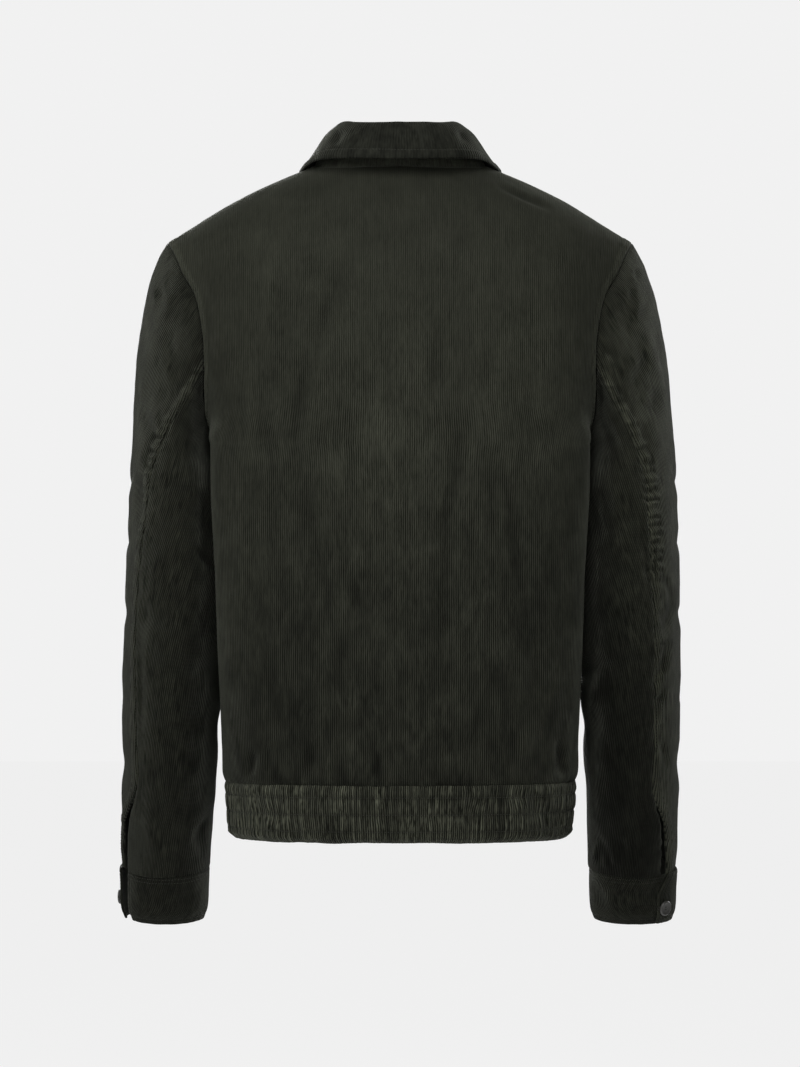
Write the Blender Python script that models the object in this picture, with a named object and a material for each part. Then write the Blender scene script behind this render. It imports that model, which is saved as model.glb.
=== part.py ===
"""Waist-length corduroy jacket, hollow and filled out as if a wearer had stepped out of it.

Units are metres, +Z is up and the front faces -Y, so the wearer's left is at +X.
The origin is the middle of the neck's base, on the line through the two neck points of the shoulder seams.

Every cloth piece is a grid of points on the garment's outer face. Its wall is that grid and a second one moved
inwards along the surface normals, joined by a rim. Pieces that share a seam are worked out from the same curve,
and each is then drawn back from the seam by half of SEAM_GAP.
"""

import functools
import math
from collections import namedtuple

import bmesh
import bpy
from mathutils import Vector

# ---------------------------------------------------------------- driving dimensions
CLOTH = 0.0020  # one layer of corduroy, with its pile
BAND_CLOTH = 0.0030  # waistband: two layers around an elastic
CUFF_CLOTH = 0.0024
SEAM_GAP = 0.0004
LAP_GAP = 0.0006  # between two layers that lie on each other

SHOULDER_HALF = 0.2275  # middle of the neck to the sleeve seam, across
SHOULDER_DROP = -0.0735  # height of the sleeve seam's top
SHOULDER_ARCH = 0.0055  # the shoulder seam bows up by this
NECK_HALF, NECK_BACK, NECK_FRONT = 0.085, 0.0608, 0.090  # half axes of the neck opening, seen from above
NECK_POINT_Z = 0.002
CROWN_Z = 0.027  # where the shoulder line would reach its highest point, if it went on through the neck
FRONT_LAP = 0.017  # each front runs this far past the middle
LAP_RAMP = 0.016  # the upper front comes down to the chest over this width

ARMHOLE_MID_X, ARMHOLE_MID_Y, ARMHOLE_MID_Z = 0.195, -0.004, -0.1728
ARMHOLE_HALF_Y, ARMHOLE_HALF_Z = 0.064, 0.0993
SLEEVE_CLEARANCE = 0.0004  # the whole sleeve stands off the body by this

BAND_TOP, BAND_BOTTOM = -0.5986, -0.6530
GATHERS = 66  # folds in the elasticated back of the band
GATHER_FADE = 0.09  # share of the band at each end where the gathers die out

BUTTON_RADIUS, BUTTON_THICK = 0.0075, 0.0030
BUTTON_SIDES = 14
FRONT_BUTTON_HEIGHTS = (-0.125, -0.213, -0.301, -0.389, -0.477, -0.560)

NECK_STEPS = 4  # grid columns between the middle and a neck point
SHOULDER_STEPS = 8  # grid columns along a shoulder seam
ARMHOLE_STEPS = 12  # grid rows from the armpit to the shoulder
CAP_STEPS = 6  # sleeve rings from the armhole to the upper arm
TOP_SLEEVE_STEPS, UNDER_SLEEVE_STEPS = 15, 9  # columns round the two halves of a sleeve
CUFF_STEPS = 26
BAND_FRONT_STEPS = 12
STAND_ROWS = 4

SQUARENESS = 0.70  # exponent of the body's rounded sections; 1 is an ellipse
HOLLOW_BACK, HOLLOW_FRONT = 16.0, 30.0  # degrees over which the hollow under the arm spreads
NECK_COLUMN = math.degrees(math.asin((NECK_HALF / SHOULDER_HALF) ** (1 / SQUARENESS))) / 90
BISECTIONS = 30
FINE_STEPS = 400  # steps on which the band's length is measured
END_ANGLE_DIP = 26  # degrees by which a section half way up the armhole ends short of a quarter turn
HOLLOW_REACH = 0.4  # levels above the armpit over which the hollow fades
ROLL_FROM = 1.5  # level, half way up the armhole, from which the body rolls over to the shoulder
ROLL_SPREAD = 0.6  # how evenly a column moves out on its way over the shoulder; 1 is a straight line
ARMHOLE_PULL = 4  # exponent with which the roll is drawn to the armhole; higher is nearer to it
# How steeply the middle climbs where it would meet the crown, and how full it is below; 1 is a quarter ellipse.
CROWN_RISE = {"back": 0.15, "front": 0.75}
FULLNESS = {"back": 1.0, "front": 0.33}

# ---------------------------------------------------------------- tables
# The body below the armpits, from the band seam up.
BodySection = namedtuple("BodySection", "z half_width side_x back_y front_y")
BODY = [
    BodySection(-0.5982, 0.1712, 0.1712, 0.1105, -0.1165),
    BodySection(-0.5850, 0.1745, 0.1735, 0.1138, -0.1203),
    BodySection(-0.5400, 0.1815, 0.1725, 0.1150, -0.1240),
    BodySection(-0.4800, 0.1880, 0.1665, 0.1165, -0.1275),
    BodySection(-0.4000, 0.1930, 0.1612, 0.1190, -0.1310),
    BodySection(-0.3300, 0.1980, 0.1588, 0.1210, -0.1330),
    BodySection(-0.2720, 0.1985, 0.1630, 0.1220, -0.1330),
]

# The middle of the back and of the chest from the armpits, level 1, to half way up the armhole.
CentreLine = namedtuple("CentreLine", "level z y")
BACK_CENTRE = [
    CentreLine(1.00, -0.272, 0.1220),
    CentreLine(1.25, -0.200, 0.1235),
    CentreLine(1.50, -0.132, 0.1185),
]
FRONT_CENTRE = [
    CentreLine(1.00, -0.272, -0.1330),
    CentreLine(1.25, -0.223, -0.1325),
    CentreLine(1.50, -0.174, -0.1270),
]

# How far out the armhole lies, by angle round it: 0 back, 90 top, 180 front, -90 or 270 armpit.
ArmholePoint = namedtuple("ArmholePoint", "angle x")
ARMHOLE = [
    ArmholePoint(-90, 0.1630),
    ArmholePoint(-70, 0.1775),
    ArmholePoint(-45, 0.1880),
    ArmholePoint(0, 0.1900),
    ArmholePoint(25, 0.1975),
    ArmholePoint(45, 0.2130),
    ArmholePoint(90, SHOULDER_HALF),
    ArmholePoint(135, 0.2090),
    ArmholePoint(155, 0.1930),
    ArmholePoint(180, 0.1860),
    ArmholePoint(225, 0.1820),
    ArmholePoint(250, 0.1740),
    ArmholePoint(270, 0.1630),
]

# Rows of the waistband, from 0 at its top to 1 at the hem. The stitch lines pinch the gathers, and inset is how
# far a row lies inside the body's outline at the band seam.
BandRow = namedtuple("BandRow", "share gather_height inset")
BAND = [
    BandRow(0.00, 0.0014, 0.0000),
    BandRow(0.20, 0.0009, 0.0008),
    BandRow(0.35, 0.0027, 0.0012),
    BandRow(0.50, 0.0009, 0.0018),
    BandRow(0.65, 0.0027, 0.0024),
    BandRow(0.80, 0.0009, 0.0031),
    BandRow(0.93, 0.0024, 0.0046),
    BandRow(1.00, 0.0018, 0.0090),
]
BAND_INNER_ROWS = [0, 5, 7]  # rows that the gathered part has on its plain inner face
BAND_FRONT_ROWS = [0, 3, 5, 6, 7]  # rows of the plain front ends

# The sleeve from the upper arm down to the cuff's lower edge. tilt is the slope at which a section's back hangs
# below its front, and bow is how far the right sleeve stands out from this, and the left one in.
SleeveSection = namedtuple("SleeveSection", "z centre_x centre_y half_x half_y tilt bow")
SLEEVE = [
    SleeveSection(-0.320, 0.2162, -0.010, 0.0521, 0.0680, 0.00, 0.0029),
    SleeveSection(-0.400, 0.2192, -0.012, 0.0524, 0.0640, 0.02, 0.0026),
    SleeveSection(-0.480, 0.2232, -0.018, 0.0502, 0.0590, 0.08, 0.0017),
    SleeveSection(-0.550, 0.2265, -0.030, 0.0482, 0.0545, 0.16, 0.0009),
    SleeveSection(-0.620, 0.2294, -0.044, 0.0458, 0.0495, 0.20, 0.0004),
    SleeveSection(-0.689, 0.2313, -0.058, 0.0432, 0.0430, 0.20, -0.0008),
    SleeveSection(-0.739, 0.2318, -0.067, 0.0415, 0.0405, 0.20, -0.0010),
]
SLEEVE_RING_HEIGHTS = (-0.320, -0.355, -0.390, -0.425, -0.460, -0.495, -0.530, -0.560, -0.588, -0.605, -0.622,
                       -0.640, -0.665, -0.6886)
CUFF_TOP, CUFF_BOTTOM = -0.6892, -0.7378

# The seam down the back of the arm, which opens into the cuff vent below z = -0.60. Angles go round the sleeve
# from 0 at its back to 90 at its outer side; gape is the angle between the two edges of the vent.
ArmSeam = namedtuple("ArmSeam", "z left_angle right_angle left_gape right_gape")
ARM_SEAM = [
    ArmSeam(-0.320, 34, 21, 0, 0),
    ArmSeam(-0.380, 41, 24, 0, 0),
    ArmSeam(-0.450, 46, 26, 0, 0),
    ArmSeam(-0.550, 40, 25, 0, 0),
    ArmSeam(-0.600, 39, 23, 0, 0),
    ArmSeam(-0.640, 64, 39, 15, 9),
    ArmSeam(-0.665, 69, 43, 19, 12),
    ArmSeam(-0.690, 70, 44, 18, 13),
]
BACK_SEAM_AT_ARMHOLE, FRONT_SEAM_AT_ARMHOLE, FRONT_SEAM = -15.0, 210.0, 215.0

# Directions in which the sleeve leaves the armhole and reaches the plain arm: out, round and down.
CAP_OUT_AT_TOP, CAP_OUT_AT_ARMPIT, CAP_ROUND, CAP_DOWN = 0.53, 0.06, 0.14, 0.84
CAP_FADE = 1.2  # exponent with which the first turns into the second on the way down to the armpit
CAP_LEAVE = 0.85  # strength of that direction
ARM_OUT = 0.03

# Cuff ends, in degrees round the wrist. The tab end is the upper layer, with its top corner cut away from
# tab_top to tab. The left cuff hangs open.
CuffEnds = namedtuple("CuffEnds", "tab_top tab under button")
CUFFS = {"left": CuffEnds(79.0, 79.0, 421.0, 95.0), "right": CuffEnds(50.5, 33.5, 421.0, 44.0)}
CUFF_TAB_LIFT = 0.0036
CUFF_TAB_REACH, CUFF_TAB_FADE = 30.0, 40.0  # degrees over which the tab stands off, and then comes down
CUFF_BUTTON_DOWN = 0.67  # share of the cuff's height

# Rows of a cuff, from 0 at its seam to 1 at its lower edge, which turns in. cut is 1 where the tab is whole.
CuffRow = namedtuple("CuffRow", "share inset cut")
CUFF_ROWS = [
    CuffRow(0.00, 0.0000, 0.0),
    CuffRow(0.36, 0.0000, 0.9),
    CuffRow(0.80, 0.0006, 1.0),
    CuffRow(1.00, 0.0036, 1.0),
]

# Stand and fall of the collar, by angle round the neck: 0 at the middle of the back, 180 at the front.
CollarSection = namedtuple("CollarSection", "angle fold_x fold_y fold_z edge_x edge_y edge_z")
COLLAR = [
    CollarSection(0.0, 0.0000, 0.0600, 0.0365, 0.0000, 0.0880, 0.0016),
    CollarSection(22.5, 0.0270, 0.0555, 0.0365, 0.0370, 0.0815, 0.0028),
    CollarSection(45.0, 0.0480, 0.0410, 0.0362, 0.0690, 0.0590, 0.0050),
    CollarSection(67.5, 0.0610, 0.0190, 0.0350, 0.0900, 0.0270, 0.0062),
    CollarSection(90.0, 0.0655, -0.0060, 0.0300, 0.0990, -0.0080, 0.0020),
    CollarSection(112.5, 0.0610, -0.0320, 0.0165, 0.1010, -0.0440, -0.0145),
    CollarSection(135.0, 0.0470, -0.0560, -0.0040, 0.0950, -0.0800, -0.0440),
    CollarSection(157.5, 0.0260, -0.0730, -0.0300, 0.0780, -0.1070, -0.0780),
    CollarSection(176.0, 0.0060, -0.0820, -0.0500, 0.0540, -0.1210, -0.1100),
]
COLLAR_ROLL = 0.0028  # the fall rises this far above the stand's top before it turns down
COLLAR_TURN_OUT, COLLAR_TURN_UP = 0.011, 0.0015  # first control point of the fall's curve, from its start
COLLAR_BOW_AT, COLLAR_BOW = 0.55, 0.006  # second one: its share of the way to the outer edge, and how far out
COLLAR_FALL_SHARES = (0.0, 0.10, 0.25, 0.45, 0.72, 1.0)

# Largest soft folds. height and width are half-spans, depth is below the outer face, lean moves the fold
# sideways as it goes down. On the body "across" is x in metres, on a sleeve it is degrees round the arm.
Fold = namedtuple("Fold", "z across height width depth lean")
BACK_FOLDS = [
    Fold(-0.330, 0.088, 0.170, 0.024, 0.0030, 0.00),
    Fold(-0.360, 0.026, 0.150, 0.022, 0.0022, 0.02),
    Fold(-0.380, -0.052, 0.200, 0.026, 0.0034, -0.03),
    Fold(-0.330, -0.120, 0.140, 0.022, 0.0026, 0.02),
]
FRONT_FOLDS = [
    Fold(-0.360, 0.070, 0.150, 0.026, 0.0030, 0.03),
    Fold(-0.420, 0.120, 0.120, 0.022, 0.0026, -0.02),
]
SLEEVE_FOLDS = [
    Fold(-0.225, 5.0, 0.020, 42.0, 0.0036, -60.0),
    Fold(-0.345, 330.0, 0.018, 46.0, 0.0030, 120.0),
    Fold(-0.440, 20.0, 0.015, 50.0, 0.0034, -160.0),
    Fold(-0.492, 300.0, 0.015, 55.0, 0.0042, 150.0),
    Fold(-0.548, 230.0, 0.016, 60.0, 0.0040, 80.0),
    Fold(-0.585, 100.0, 0.014, 45.0, 0.0030, -90.0),
]

# Half the outline of a turned button, as shares of its radius and thickness, from the back's middle to the front's.
ButtonPoint = namedtuple("ButtonPoint", "radius height")
BUTTON_PROFILE = [
    ButtonPoint(0.00, 0.00),
    ButtonPoint(0.86, 0.00),
    ButtonPoint(1.00, 0.45),
    ButtonPoint(0.88, 1.00),
    ButtonPoint(0.68, 0.62),
    ButtonPoint(0.00, 0.62),
]


# ---------------------------------------------------------------- small tools
def smooth_read(table, key, at, column):
    """The column's value between rows, on a smooth curve through them. Without a key, at is a row number."""
    keys = [getattr(row, key) for row in table] if key else list(range(len(table)))
    values = [getattr(row, column) for row in table]
    if keys[0] > keys[-1]:
        keys.reverse()
        values.reverse()
    at = min(max(at, keys[0]), keys[-1])
    i = max(k for k in range(len(keys) - 1) if keys[k] <= at)
    width = keys[i + 1] - keys[i]

    def slope(k):
        low, high = max(k - 1, 0), min(k + 1, len(keys) - 1)
        return (values[high] - values[low]) / (keys[high] - keys[low])

    t = (at - keys[i]) / width
    return (
        (2 * t**3 - 3 * t**2 + 1) * values[i]
        + (t**3 - 2 * t**2 + t) * width * slope(i)
        + (3 * t**2 - 2 * t**3) * values[i + 1]
        + (t**3 - t**2) * width * slope(i + 1)
    )


def mix(a, b, share):
    return a + (b - a) * share


def clamp(value, low=0.0, high=1.0):
    return min(max(value, low), high)


def soft_step(value):
    value = clamp(value)
    return value * value * (3 - 2 * value)


def hermite(start, leave, end, arrive, share):
    """A point on the smooth curve from start to end that has those tangents."""
    h = share
    return (
        start * (2 * h**3 - 3 * h**2 + 1)
        + leave * (h**3 - 2 * h**2 + h)
        + end * (3 * h**2 - 2 * h**3)
        + arrive * (h**3 - h**2)
    )


def cosine(degrees):
    return math.cos(math.radians(degrees))


def sine(degrees):
    return math.sin(math.radians(degrees))


def power(base, exponent):
    return math.copysign(abs(base) ** exponent, base)


# ---------------------------------------------------------------- the garment's surface
def armhole_point(angle):
    """A point of the armhole seam on the wearer's left."""
    wrapped = angle if -90 <= angle <= 270 else angle - math.copysign(360, angle)
    x = smooth_read(ARMHOLE, "angle", wrapped, "x")
    y = ARMHOLE_MID_Y + ARMHOLE_HALF_Y * cosine(angle)
    z = ARMHOLE_MID_Z + ARMHOLE_HALF_Z * sine(angle)
    return Vector((x, y, z))


def shoulder_point(x):
    """A point of the shoulder seam, and for x inside the neck of the line that carries it on to the crown."""
    if x < NECK_HALF:
        inwards = 1 - x / NECK_HALF
        slope = (NECK_POINT_Z - SHOULDER_DROP) / (SHOULDER_HALF - NECK_HALF) * NECK_HALF
        height = slope * inwards + (CROWN_Z - NECK_POINT_Z - slope) * inwards * inwards
        return Vector((x, 0.0, NECK_POINT_Z + height))
    share = (x - NECK_HALF) / (SHOULDER_HALF - NECK_HALF)
    arch = SHOULDER_ARCH * math.sin(math.pi * share)
    return Vector((x, ARMHOLE_MID_Y * share, mix(NECK_POINT_Z, SHOULDER_DROP, share) + arch))


def body_shape(face, level):
    """Edge point, centre point, end angle and hollow of one section. Levels 0 to 1 are below the armpit."""
    front = face == "front"
    if level <= 1:
        read = functools.partial(smooth_read, BODY, None, level * (len(BODY) - 1))
        z, half, side = read("z"), read("half_width"), read("side_x")
        depth = read("front_y") if front else read("back_y")
        return Vector((side, 0, z)), Vector((0, depth, z)), 90.0, (half - side) / half
    turn = -90 + 180 * (level - 1)
    edge = armhole_point(180 - turn if front else turn)
    lines = FRONT_CENTRE if front else BACK_CENTRE
    centre = Vector((0, smooth_read(lines, "level", level, "y"), smooth_read(lines, "level", level, "z")))
    top = BODY[-1]
    hollow = (top.half_width - top.side_x) / top.half_width * clamp(1 - (level - 1) / HOLLOW_REACH)
    return edge, centre, 90 - END_ANGLE_DIP * cosine(turn), hollow


def spread(face, angle, hollow):
    """How far out a section reaches at an angle from its centre, as a share of its full half width."""
    width = HOLLOW_FRONT if face == "front" else HOLLOW_BACK
    return power(sine(angle), SQUARENESS) - hollow * math.exp(-(((90 - angle) / width) ** 2))


def plain_body_point(face, level, column):
    """column is 0 at the centre and 1 at the side seam or armhole."""
    edge, centre, end_angle, hollow = body_shape(face, level)
    angle = column * end_angle
    x = edge.x * spread(face, angle, hollow) / spread(face, end_angle, hollow)
    rise = power(cosine(angle), SQUARENESS)
    low = power(cosine(end_angle), SQUARENESS)
    y = mix(edge.y, centre.y, (rise - low) / (1 - low))
    z = mix(centre.z, edge.z, column * column)
    return Vector((x if column > 0 else 0.0, y, z))


def top_x(column):
    """How far out a column meets the shoulder seam."""
    return SHOULDER_HALF * power(sine(90 * column), SQUARENESS)


@functools.lru_cache(maxsize=None)
def roll_tangents(face, column):
    """Ends and tangents of the curve on which a column rolls over to the shoulder line."""
    step = 0.01
    start = plain_body_point(face, ROLL_FROM, column)
    leave = start - plain_body_point(face, ROLL_FROM - step, column)
    end = shoulder_point(top_x(column))
    leave *= mix(FULLNESS[face], 1, column) * math.pi / 2 * (end.z - start.z) / leave.z
    roll = math.pi / 2 * (end.y - start.y)
    rise = CROWN_RISE[face] * (1 - soft_step(end.x / SHOULDER_HALF))
    return start, leave, end, Vector((ROLL_SPREAD * (end.x - start.x), roll, rise * abs(roll)))


def rolled_point(face, share, column):
    miss = armhole_point(180 - 90 * share if face == "front" else 90 * share)
    miss -= hermite(*roll_tangents(face, 1.0), share)
    return hermite(*roll_tangents(face, column), share) + miss * column**ARMHOLE_PULL


@functools.lru_cache(maxsize=None)
def roll_end(face, column):
    """The share of the roll at which a column meets the neckline; 1 where it meets the shoulder seam."""
    if column >= NECK_COLUMN:
        return 1.0
    depth = NECK_FRONT if face == "front" else NECK_BACK
    low, high = 0.0, 1.0
    for _ in range(BISECTIONS):
        middle = (low + high) / 2
        point = rolled_point(face, middle, column)
        if (point.x / NECK_HALF) ** 2 + (point.y / depth) ** 2 > 1:
            low = middle
        else:
            high = middle
    return high


def body_point(face, level, column):
    """A point of the outer face on the wearer's left."""
    if level <= ROLL_FROM:
        return plain_body_point(face, level, column)
    return rolled_point(face, (level - ROLL_FROM) / (2 - ROLL_FROM) * roll_end(face, column), column)


@functools.lru_cache(maxsize=None)
def neck_column(face, turn):
    """The column that meets the neckline so many degrees from the middle of the back or of the front."""
    if turn >= 90:
        return NECK_COLUMN
    low, high = 0.0, NECK_COLUMN
    for _ in range(BISECTIONS):
        middle = (low + high) / 2
        if body_point(face, 2, middle).x < NECK_HALF * sine(turn):
            low = middle
        else:
            high = middle
    return low


def neckline_point(angle):
    """A point of the neck seam on the wearer's left: 0 is the middle of the back, 180 of the front."""
    face, turn = ("back", angle) if angle <= 90 else ("front", 180 - angle)
    return body_point(face, 2, neck_column(face, turn))


def column_at(face, level, x):
    """The column whose point on that section lies x from the middle, by halving."""
    low, high = 0.0, 1.0
    for _ in range(BISECTIONS):
        middle = (low + high) / 2
        if body_point(face, level, middle).x < x:
            low = middle
        else:
            high = middle
    return (low + high) / 2


def fold_depth(folds, z, across):
    total = 0.0
    for fold in folds:
        away_up = (z - fold.z) / fold.height
        away_across = (across - fold.across - fold.lean * (fold.z - z)) / fold.width
        total += fold.depth * math.exp(-away_up * away_up - away_across * away_across)
    return total


def sleeve_section_point(side, z, angle):
    """A point of the outer face of a sleeve below the upper arm, both sides drawn at the wearer's left."""
    cx, cy, hx, hy, tilt, bow = (smooth_read(SLEEVE, "z", z, c) for c in SleeveSection._fields[1:])
    y = hy * cosine(angle)
    return Vector((cx + hx * sine(angle) + (bow if side == "right" else -bow), cy + y, z - tilt * y))


def sleeve_cap_point(side, share, armhole_angle, arm_angle):
    """A point between the armhole, share 0, and the first plain section of the arm, share 1."""
    start = armhole_point(armhole_angle)
    end = sleeve_section_point(side, SLEEVE[0].z, arm_angle)
    below = max(0.0, -sine(armhole_angle))
    out = mix(CAP_OUT_AT_TOP, CAP_OUT_AT_ARMPIT, below**CAP_FADE)
    leave = Vector((out, CAP_ROUND * cosine(armhole_angle), -CAP_DOWN)).normalized()
    length = (end - start).length
    return hermite(start, leave * (CAP_LEAVE * length), end, Vector((ARM_OUT, 0, -1)) * length, share)


def collar_frame(angle):
    """Neck seam, fold and outer edge of the collar at an angle round the neck."""
    at = {c: smooth_read(COLLAR, "angle", angle, c) for c in CollarSection._fields[1:]}
    fold = Vector((at["fold_x"], at["fold_y"], at["fold_z"]))
    edge = Vector((at["edge_x"], at["edge_y"], at["edge_z"]))
    return neckline_point(angle), fold, edge


# ---------------------------------------------------------------- panels as grids
class Panel:
    """A grid of outer points, and the normals along which its wall goes inwards."""

    def __init__(self, name, grid, thickness, material, outward):
        self.name, self.grid, self.thickness, self.material = name, grid, thickness, material
        self.normals = grid_normals(grid, outward)
        self.inner_rows = list(range(len(grid)))

    def border(self):
        rows, columns = len(self.grid), len(self.grid[0])
        for r in range(rows):
            for c in range(columns):
                if r in (0, rows - 1) or c in (0, columns - 1):
                    yield r, c


def grid_normals(grid, outward):
    """A unit normal at each point, on the side that outward(point) points to."""
    rows, columns = len(grid), len(grid[0])
    normals = []
    for r in range(rows):
        line = []
        for c in range(columns):
            along = grid[min(r + 1, rows - 1)][c] - grid[max(r - 1, 0)][c]
            across = grid[r][min(c + 1, columns - 1)] - grid[r][max(c - 1, 0)]
            normal = along.cross(across).normalized()
            line.append(normal if normal.dot(outward(grid[r][c])) > 0 else -normal)
        normals.append(line)
    return normals


def match_seam_normals(panels, most_turn):
    """Where two panels meet and turn by less than most_turn, both walls go inwards along the same line."""
    meeting = {}
    for panel in panels:
        for r, c in panel.border():
            key = tuple(round(v, 4) for v in panel.grid[r][c])
            meeting.setdefault(key, []).append((panel, r, c))
    for places in meeting.values():
        normals = [panel.normals[r][c].copy() for panel, r, c in places]
        if min(a.dot(b) for a in normals for b in normals) > cosine(most_turn):
            shared = sum(normals, Vector()).normalized()
            for panel, r, c in places:
                panel.normals[r][c] = shared


def draw_back_borders(panel):
    """Moves the border half a seam gap into the panel."""
    rows, columns = len(panel.grid), len(panel.grid[0])
    moved = {}
    for r, c in panel.border():
        inner_r, inner_c = clamp(r, 1, rows - 2), clamp(c, 1, columns - 2)
        shift = Vector()
        if inner_r != r:
            shift += (panel.grid[inner_r][c] - panel.grid[r][c]).normalized()
        if inner_c != c:
            shift += (panel.grid[r][inner_c] - panel.grid[r][c]).normalized()
        moved[r, c] = panel.grid[r][c] + shift * (SEAM_GAP / 2)
    for (r, c), point in moved.items():
        panel.grid[r][c] = point


def build_panel(panel):
    """The closed solid of a panel: outer face, inner face and rim."""
    mesh = bmesh.new()
    rows, columns = len(panel.grid), len(panel.grid[0])
    outer = [[mesh.verts.new(p) for p in line] for line in panel.grid]
    inner = {
        r: [mesh.verts.new(p - n * panel.thickness) for p, n in zip(panel.grid[r], panel.normals[r])]
        for r in panel.inner_rows
    }
    for r in range(rows - 1):
        for c in range(columns - 1):
            mesh.faces.new((outer[r][c], outer[r][c + 1], outer[r + 1][c + 1], outer[r + 1][c]))
    for above, below in zip(panel.inner_rows, panel.inner_rows[1:]):
        for c in range(columns - 1):
            mesh.faces.new((inner[above][c], inner[below][c], inner[below][c + 1], inner[above][c + 1]))
        for c in (0, columns - 1):
            edge = [outer[r][c] for r in range(above, below + 1)] + [inner[below][c], inner[above][c]]
            mesh.faces.new(edge if c else edge[::-1])
    for c in range(columns - 1):
        for r, (a, b) in ((0, (c, c + 1)), (rows - 1, (c + 1, c))):
            mesh.faces.new((outer[r][a], outer[r][b], inner[r][b], inner[r][a]))
    return add_object(panel.name, mesh, panel.material)


def add_object(name, mesh, material):
    bmesh.ops.recalc_face_normals(mesh, faces=mesh.faces)
    data = bpy.data.meshes.new(name)
    mesh.to_mesh(data)
    mesh.free()
    data.materials.append(material)
    data.shade_smooth()
    data.set_sharp_from_angle(angle=math.radians(50))
    piece = bpy.data.objects.new(name, data)
    bpy.context.scene.collection.objects.link(piece)
    return piece


def mirrored(grid):
    return [[Vector((-p.x, p.y, p.z)) for p in line] for line in grid]


# ---------------------------------------------------------------- body panels
def body_levels():
    below = [i / (len(BODY) - 1) for i in range(len(BODY))]
    above = [1 + (i + 1) / ARMHOLE_STEPS for i in range(ARMHOLE_STEPS)]
    return below + above


def body_columns(face):
    """Columns from the middle to the side seam: the collar's angles along the neck, then the shoulder's."""
    neck = [neck_column(face, 90 * step / NECK_STEPS) for step in range(NECK_STEPS + 1)]
    return neck + [mix(NECK_COLUMN, 1, (i + 1) / SHOULDER_STEPS) for i in range(SHOULDER_STEPS)]


def fold_in(grid, folds, outward):
    """Sinks the folds of a body panel into its outer face, away from its borders."""
    normals = grid_normals(grid, outward)
    for line, normal_line in list(zip(grid, normals))[1:-1]:
        for c in range(1, len(line) - 1):
            line[c] -= normal_line[c] * fold_depth(folds, line[c].z, line[c].x)


def body_outward(point):
    return Vector((point.x, point.y * 2, max(point.z, -0.2) + 0.2))


def back_panel(cloth):
    half = body_columns("back")
    grid = []
    for level in body_levels():
        left = [body_point("back", level, column) for column in half]
        right = [Vector((-p.x, p.y, p.z)) for p in left[:0:-1]]
        grid.append(right + left)
    fold_in(grid, BACK_FOLDS, body_outward)
    return Panel("back", grid, CLOTH, cloth, body_outward)


def front_columns(level):
    """Own columns of one section of a front: the lap, which is the same width all the way down, then the rest."""
    lap = [-FRONT_LAP, 0.0, FRONT_LAP]
    return [math.copysign(column_at("front", level, abs(x)), x) for x in lap] + body_columns("front")[1:]


def front_point(level, column):
    point = body_point("front", level, abs(column))
    return Vector((math.copysign(point.x, column), point.y, point.z))


def front_panel(side, cloth):
    """The wearer's left front lies on the right one, so it stands off by a layer along the lap."""
    grid = [[front_point(level, column) for column in front_columns(level)] for level in body_levels()]
    fold_in(grid, FRONT_FOLDS, body_outward)
    if side == "left":
        lift_lap(grid, CLOTH, body_outward)
    else:
        grid = mirrored(grid)
    return Panel("front_" + side, grid, CLOTH, cloth, body_outward)


def lift_lap(grid, thickness, outward):
    """Lifts the lapping edge clear of the layer under it."""
    for line, normals in zip(grid, grid_normals(grid, outward)):
        for c, point in enumerate(line):
            lift = (thickness + LAP_GAP) * (1 - soft_step((point.x - FRONT_LAP) / LAP_RAMP))
            line[c] = point + normals[c] * lift


# ---------------------------------------------------------------- waistband
def band_point(face, row, column):
    """A point of the band's outer face on the wearer's left."""
    top = BODY[0]
    depth = top.front_y if face == "front" else top.back_y
    x = (top.half_width - row.inset) * power(sine(90 * column), SQUARENESS)
    y = (depth - math.copysign(row.inset, depth)) * power(cosine(90 * column), SQUARENESS)
    return Vector((x, y, mix(BAND_TOP, BAND_BOTTOM, row.share)))


def even_columns(face, count):
    """Columns that cut the band's quarter into even lengths."""
    points = [band_point(face, BAND[0], i / FINE_STEPS) for i in range(FINE_STEPS + 1)]
    lengths = [0.0]
    for a, b in zip(points, points[1:]):
        lengths.append(lengths[-1] + (b - a).length)
    columns, i = [], 0
    for step in range(count + 1):
        wanted = lengths[-1] * step / count
        while i < FINE_STEPS - 1 and lengths[i + 1] < wanted:
            i += 1
        columns.append((i + (wanted - lengths[i]) / (lengths[i + 1] - lengths[i])) / FINE_STEPS)
    return columns


def band_outward(point):
    return Vector((point.x, point.y * 2, 0))


def band_back(cloth):
    """Elasticated back of the band: one crest and one trough of the outer face for each gather, plain inside."""
    columns = even_columns("back", GATHERS)
    grid = []
    for row in BAND:
        left = [band_point("back", row, column) for column in columns]
        grid.append([Vector((-p.x, p.y, p.z)) for p in left[:0:-1]] + left)
    panel = Panel("waistband_back", grid, BAND_CLOTH, cloth, band_outward)
    panel.inner_rows = BAND_INNER_ROWS
    last = len(grid[0]) - 1
    for r, row in enumerate(BAND):
        for c in range(1, last, 2):
            fade = soft_step(c / last / GATHER_FADE) * soft_step((1 - c / last) / GATHER_FADE)
            grid[r][c] = grid[r][c] + panel.normals[r][c] * row.gather_height * fade
    return panel


def band_front(side, cloth):
    columns = even_columns("front", BAND_FRONT_STEPS)
    lap = column_for_lap()
    grid = []
    for row in (BAND[r] for r in BAND_FRONT_ROWS):
        line = [band_point("front", row, column) for column in [lap, 0.0, lap] + columns[2:]]
        line[0].x = -line[0].x
        grid.append(line)
    if side == "left":
        lift_lap(grid, BAND_CLOTH, band_outward)
    else:
        grid = mirrored(grid)
    return Panel("waistband_front_" + side, grid, BAND_CLOTH, cloth, band_outward)


def column_for_lap():
    share = FRONT_LAP / BODY[0].half_width
    return math.degrees(math.asin(share ** (1 / SQUARENESS))) / 90


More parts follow.
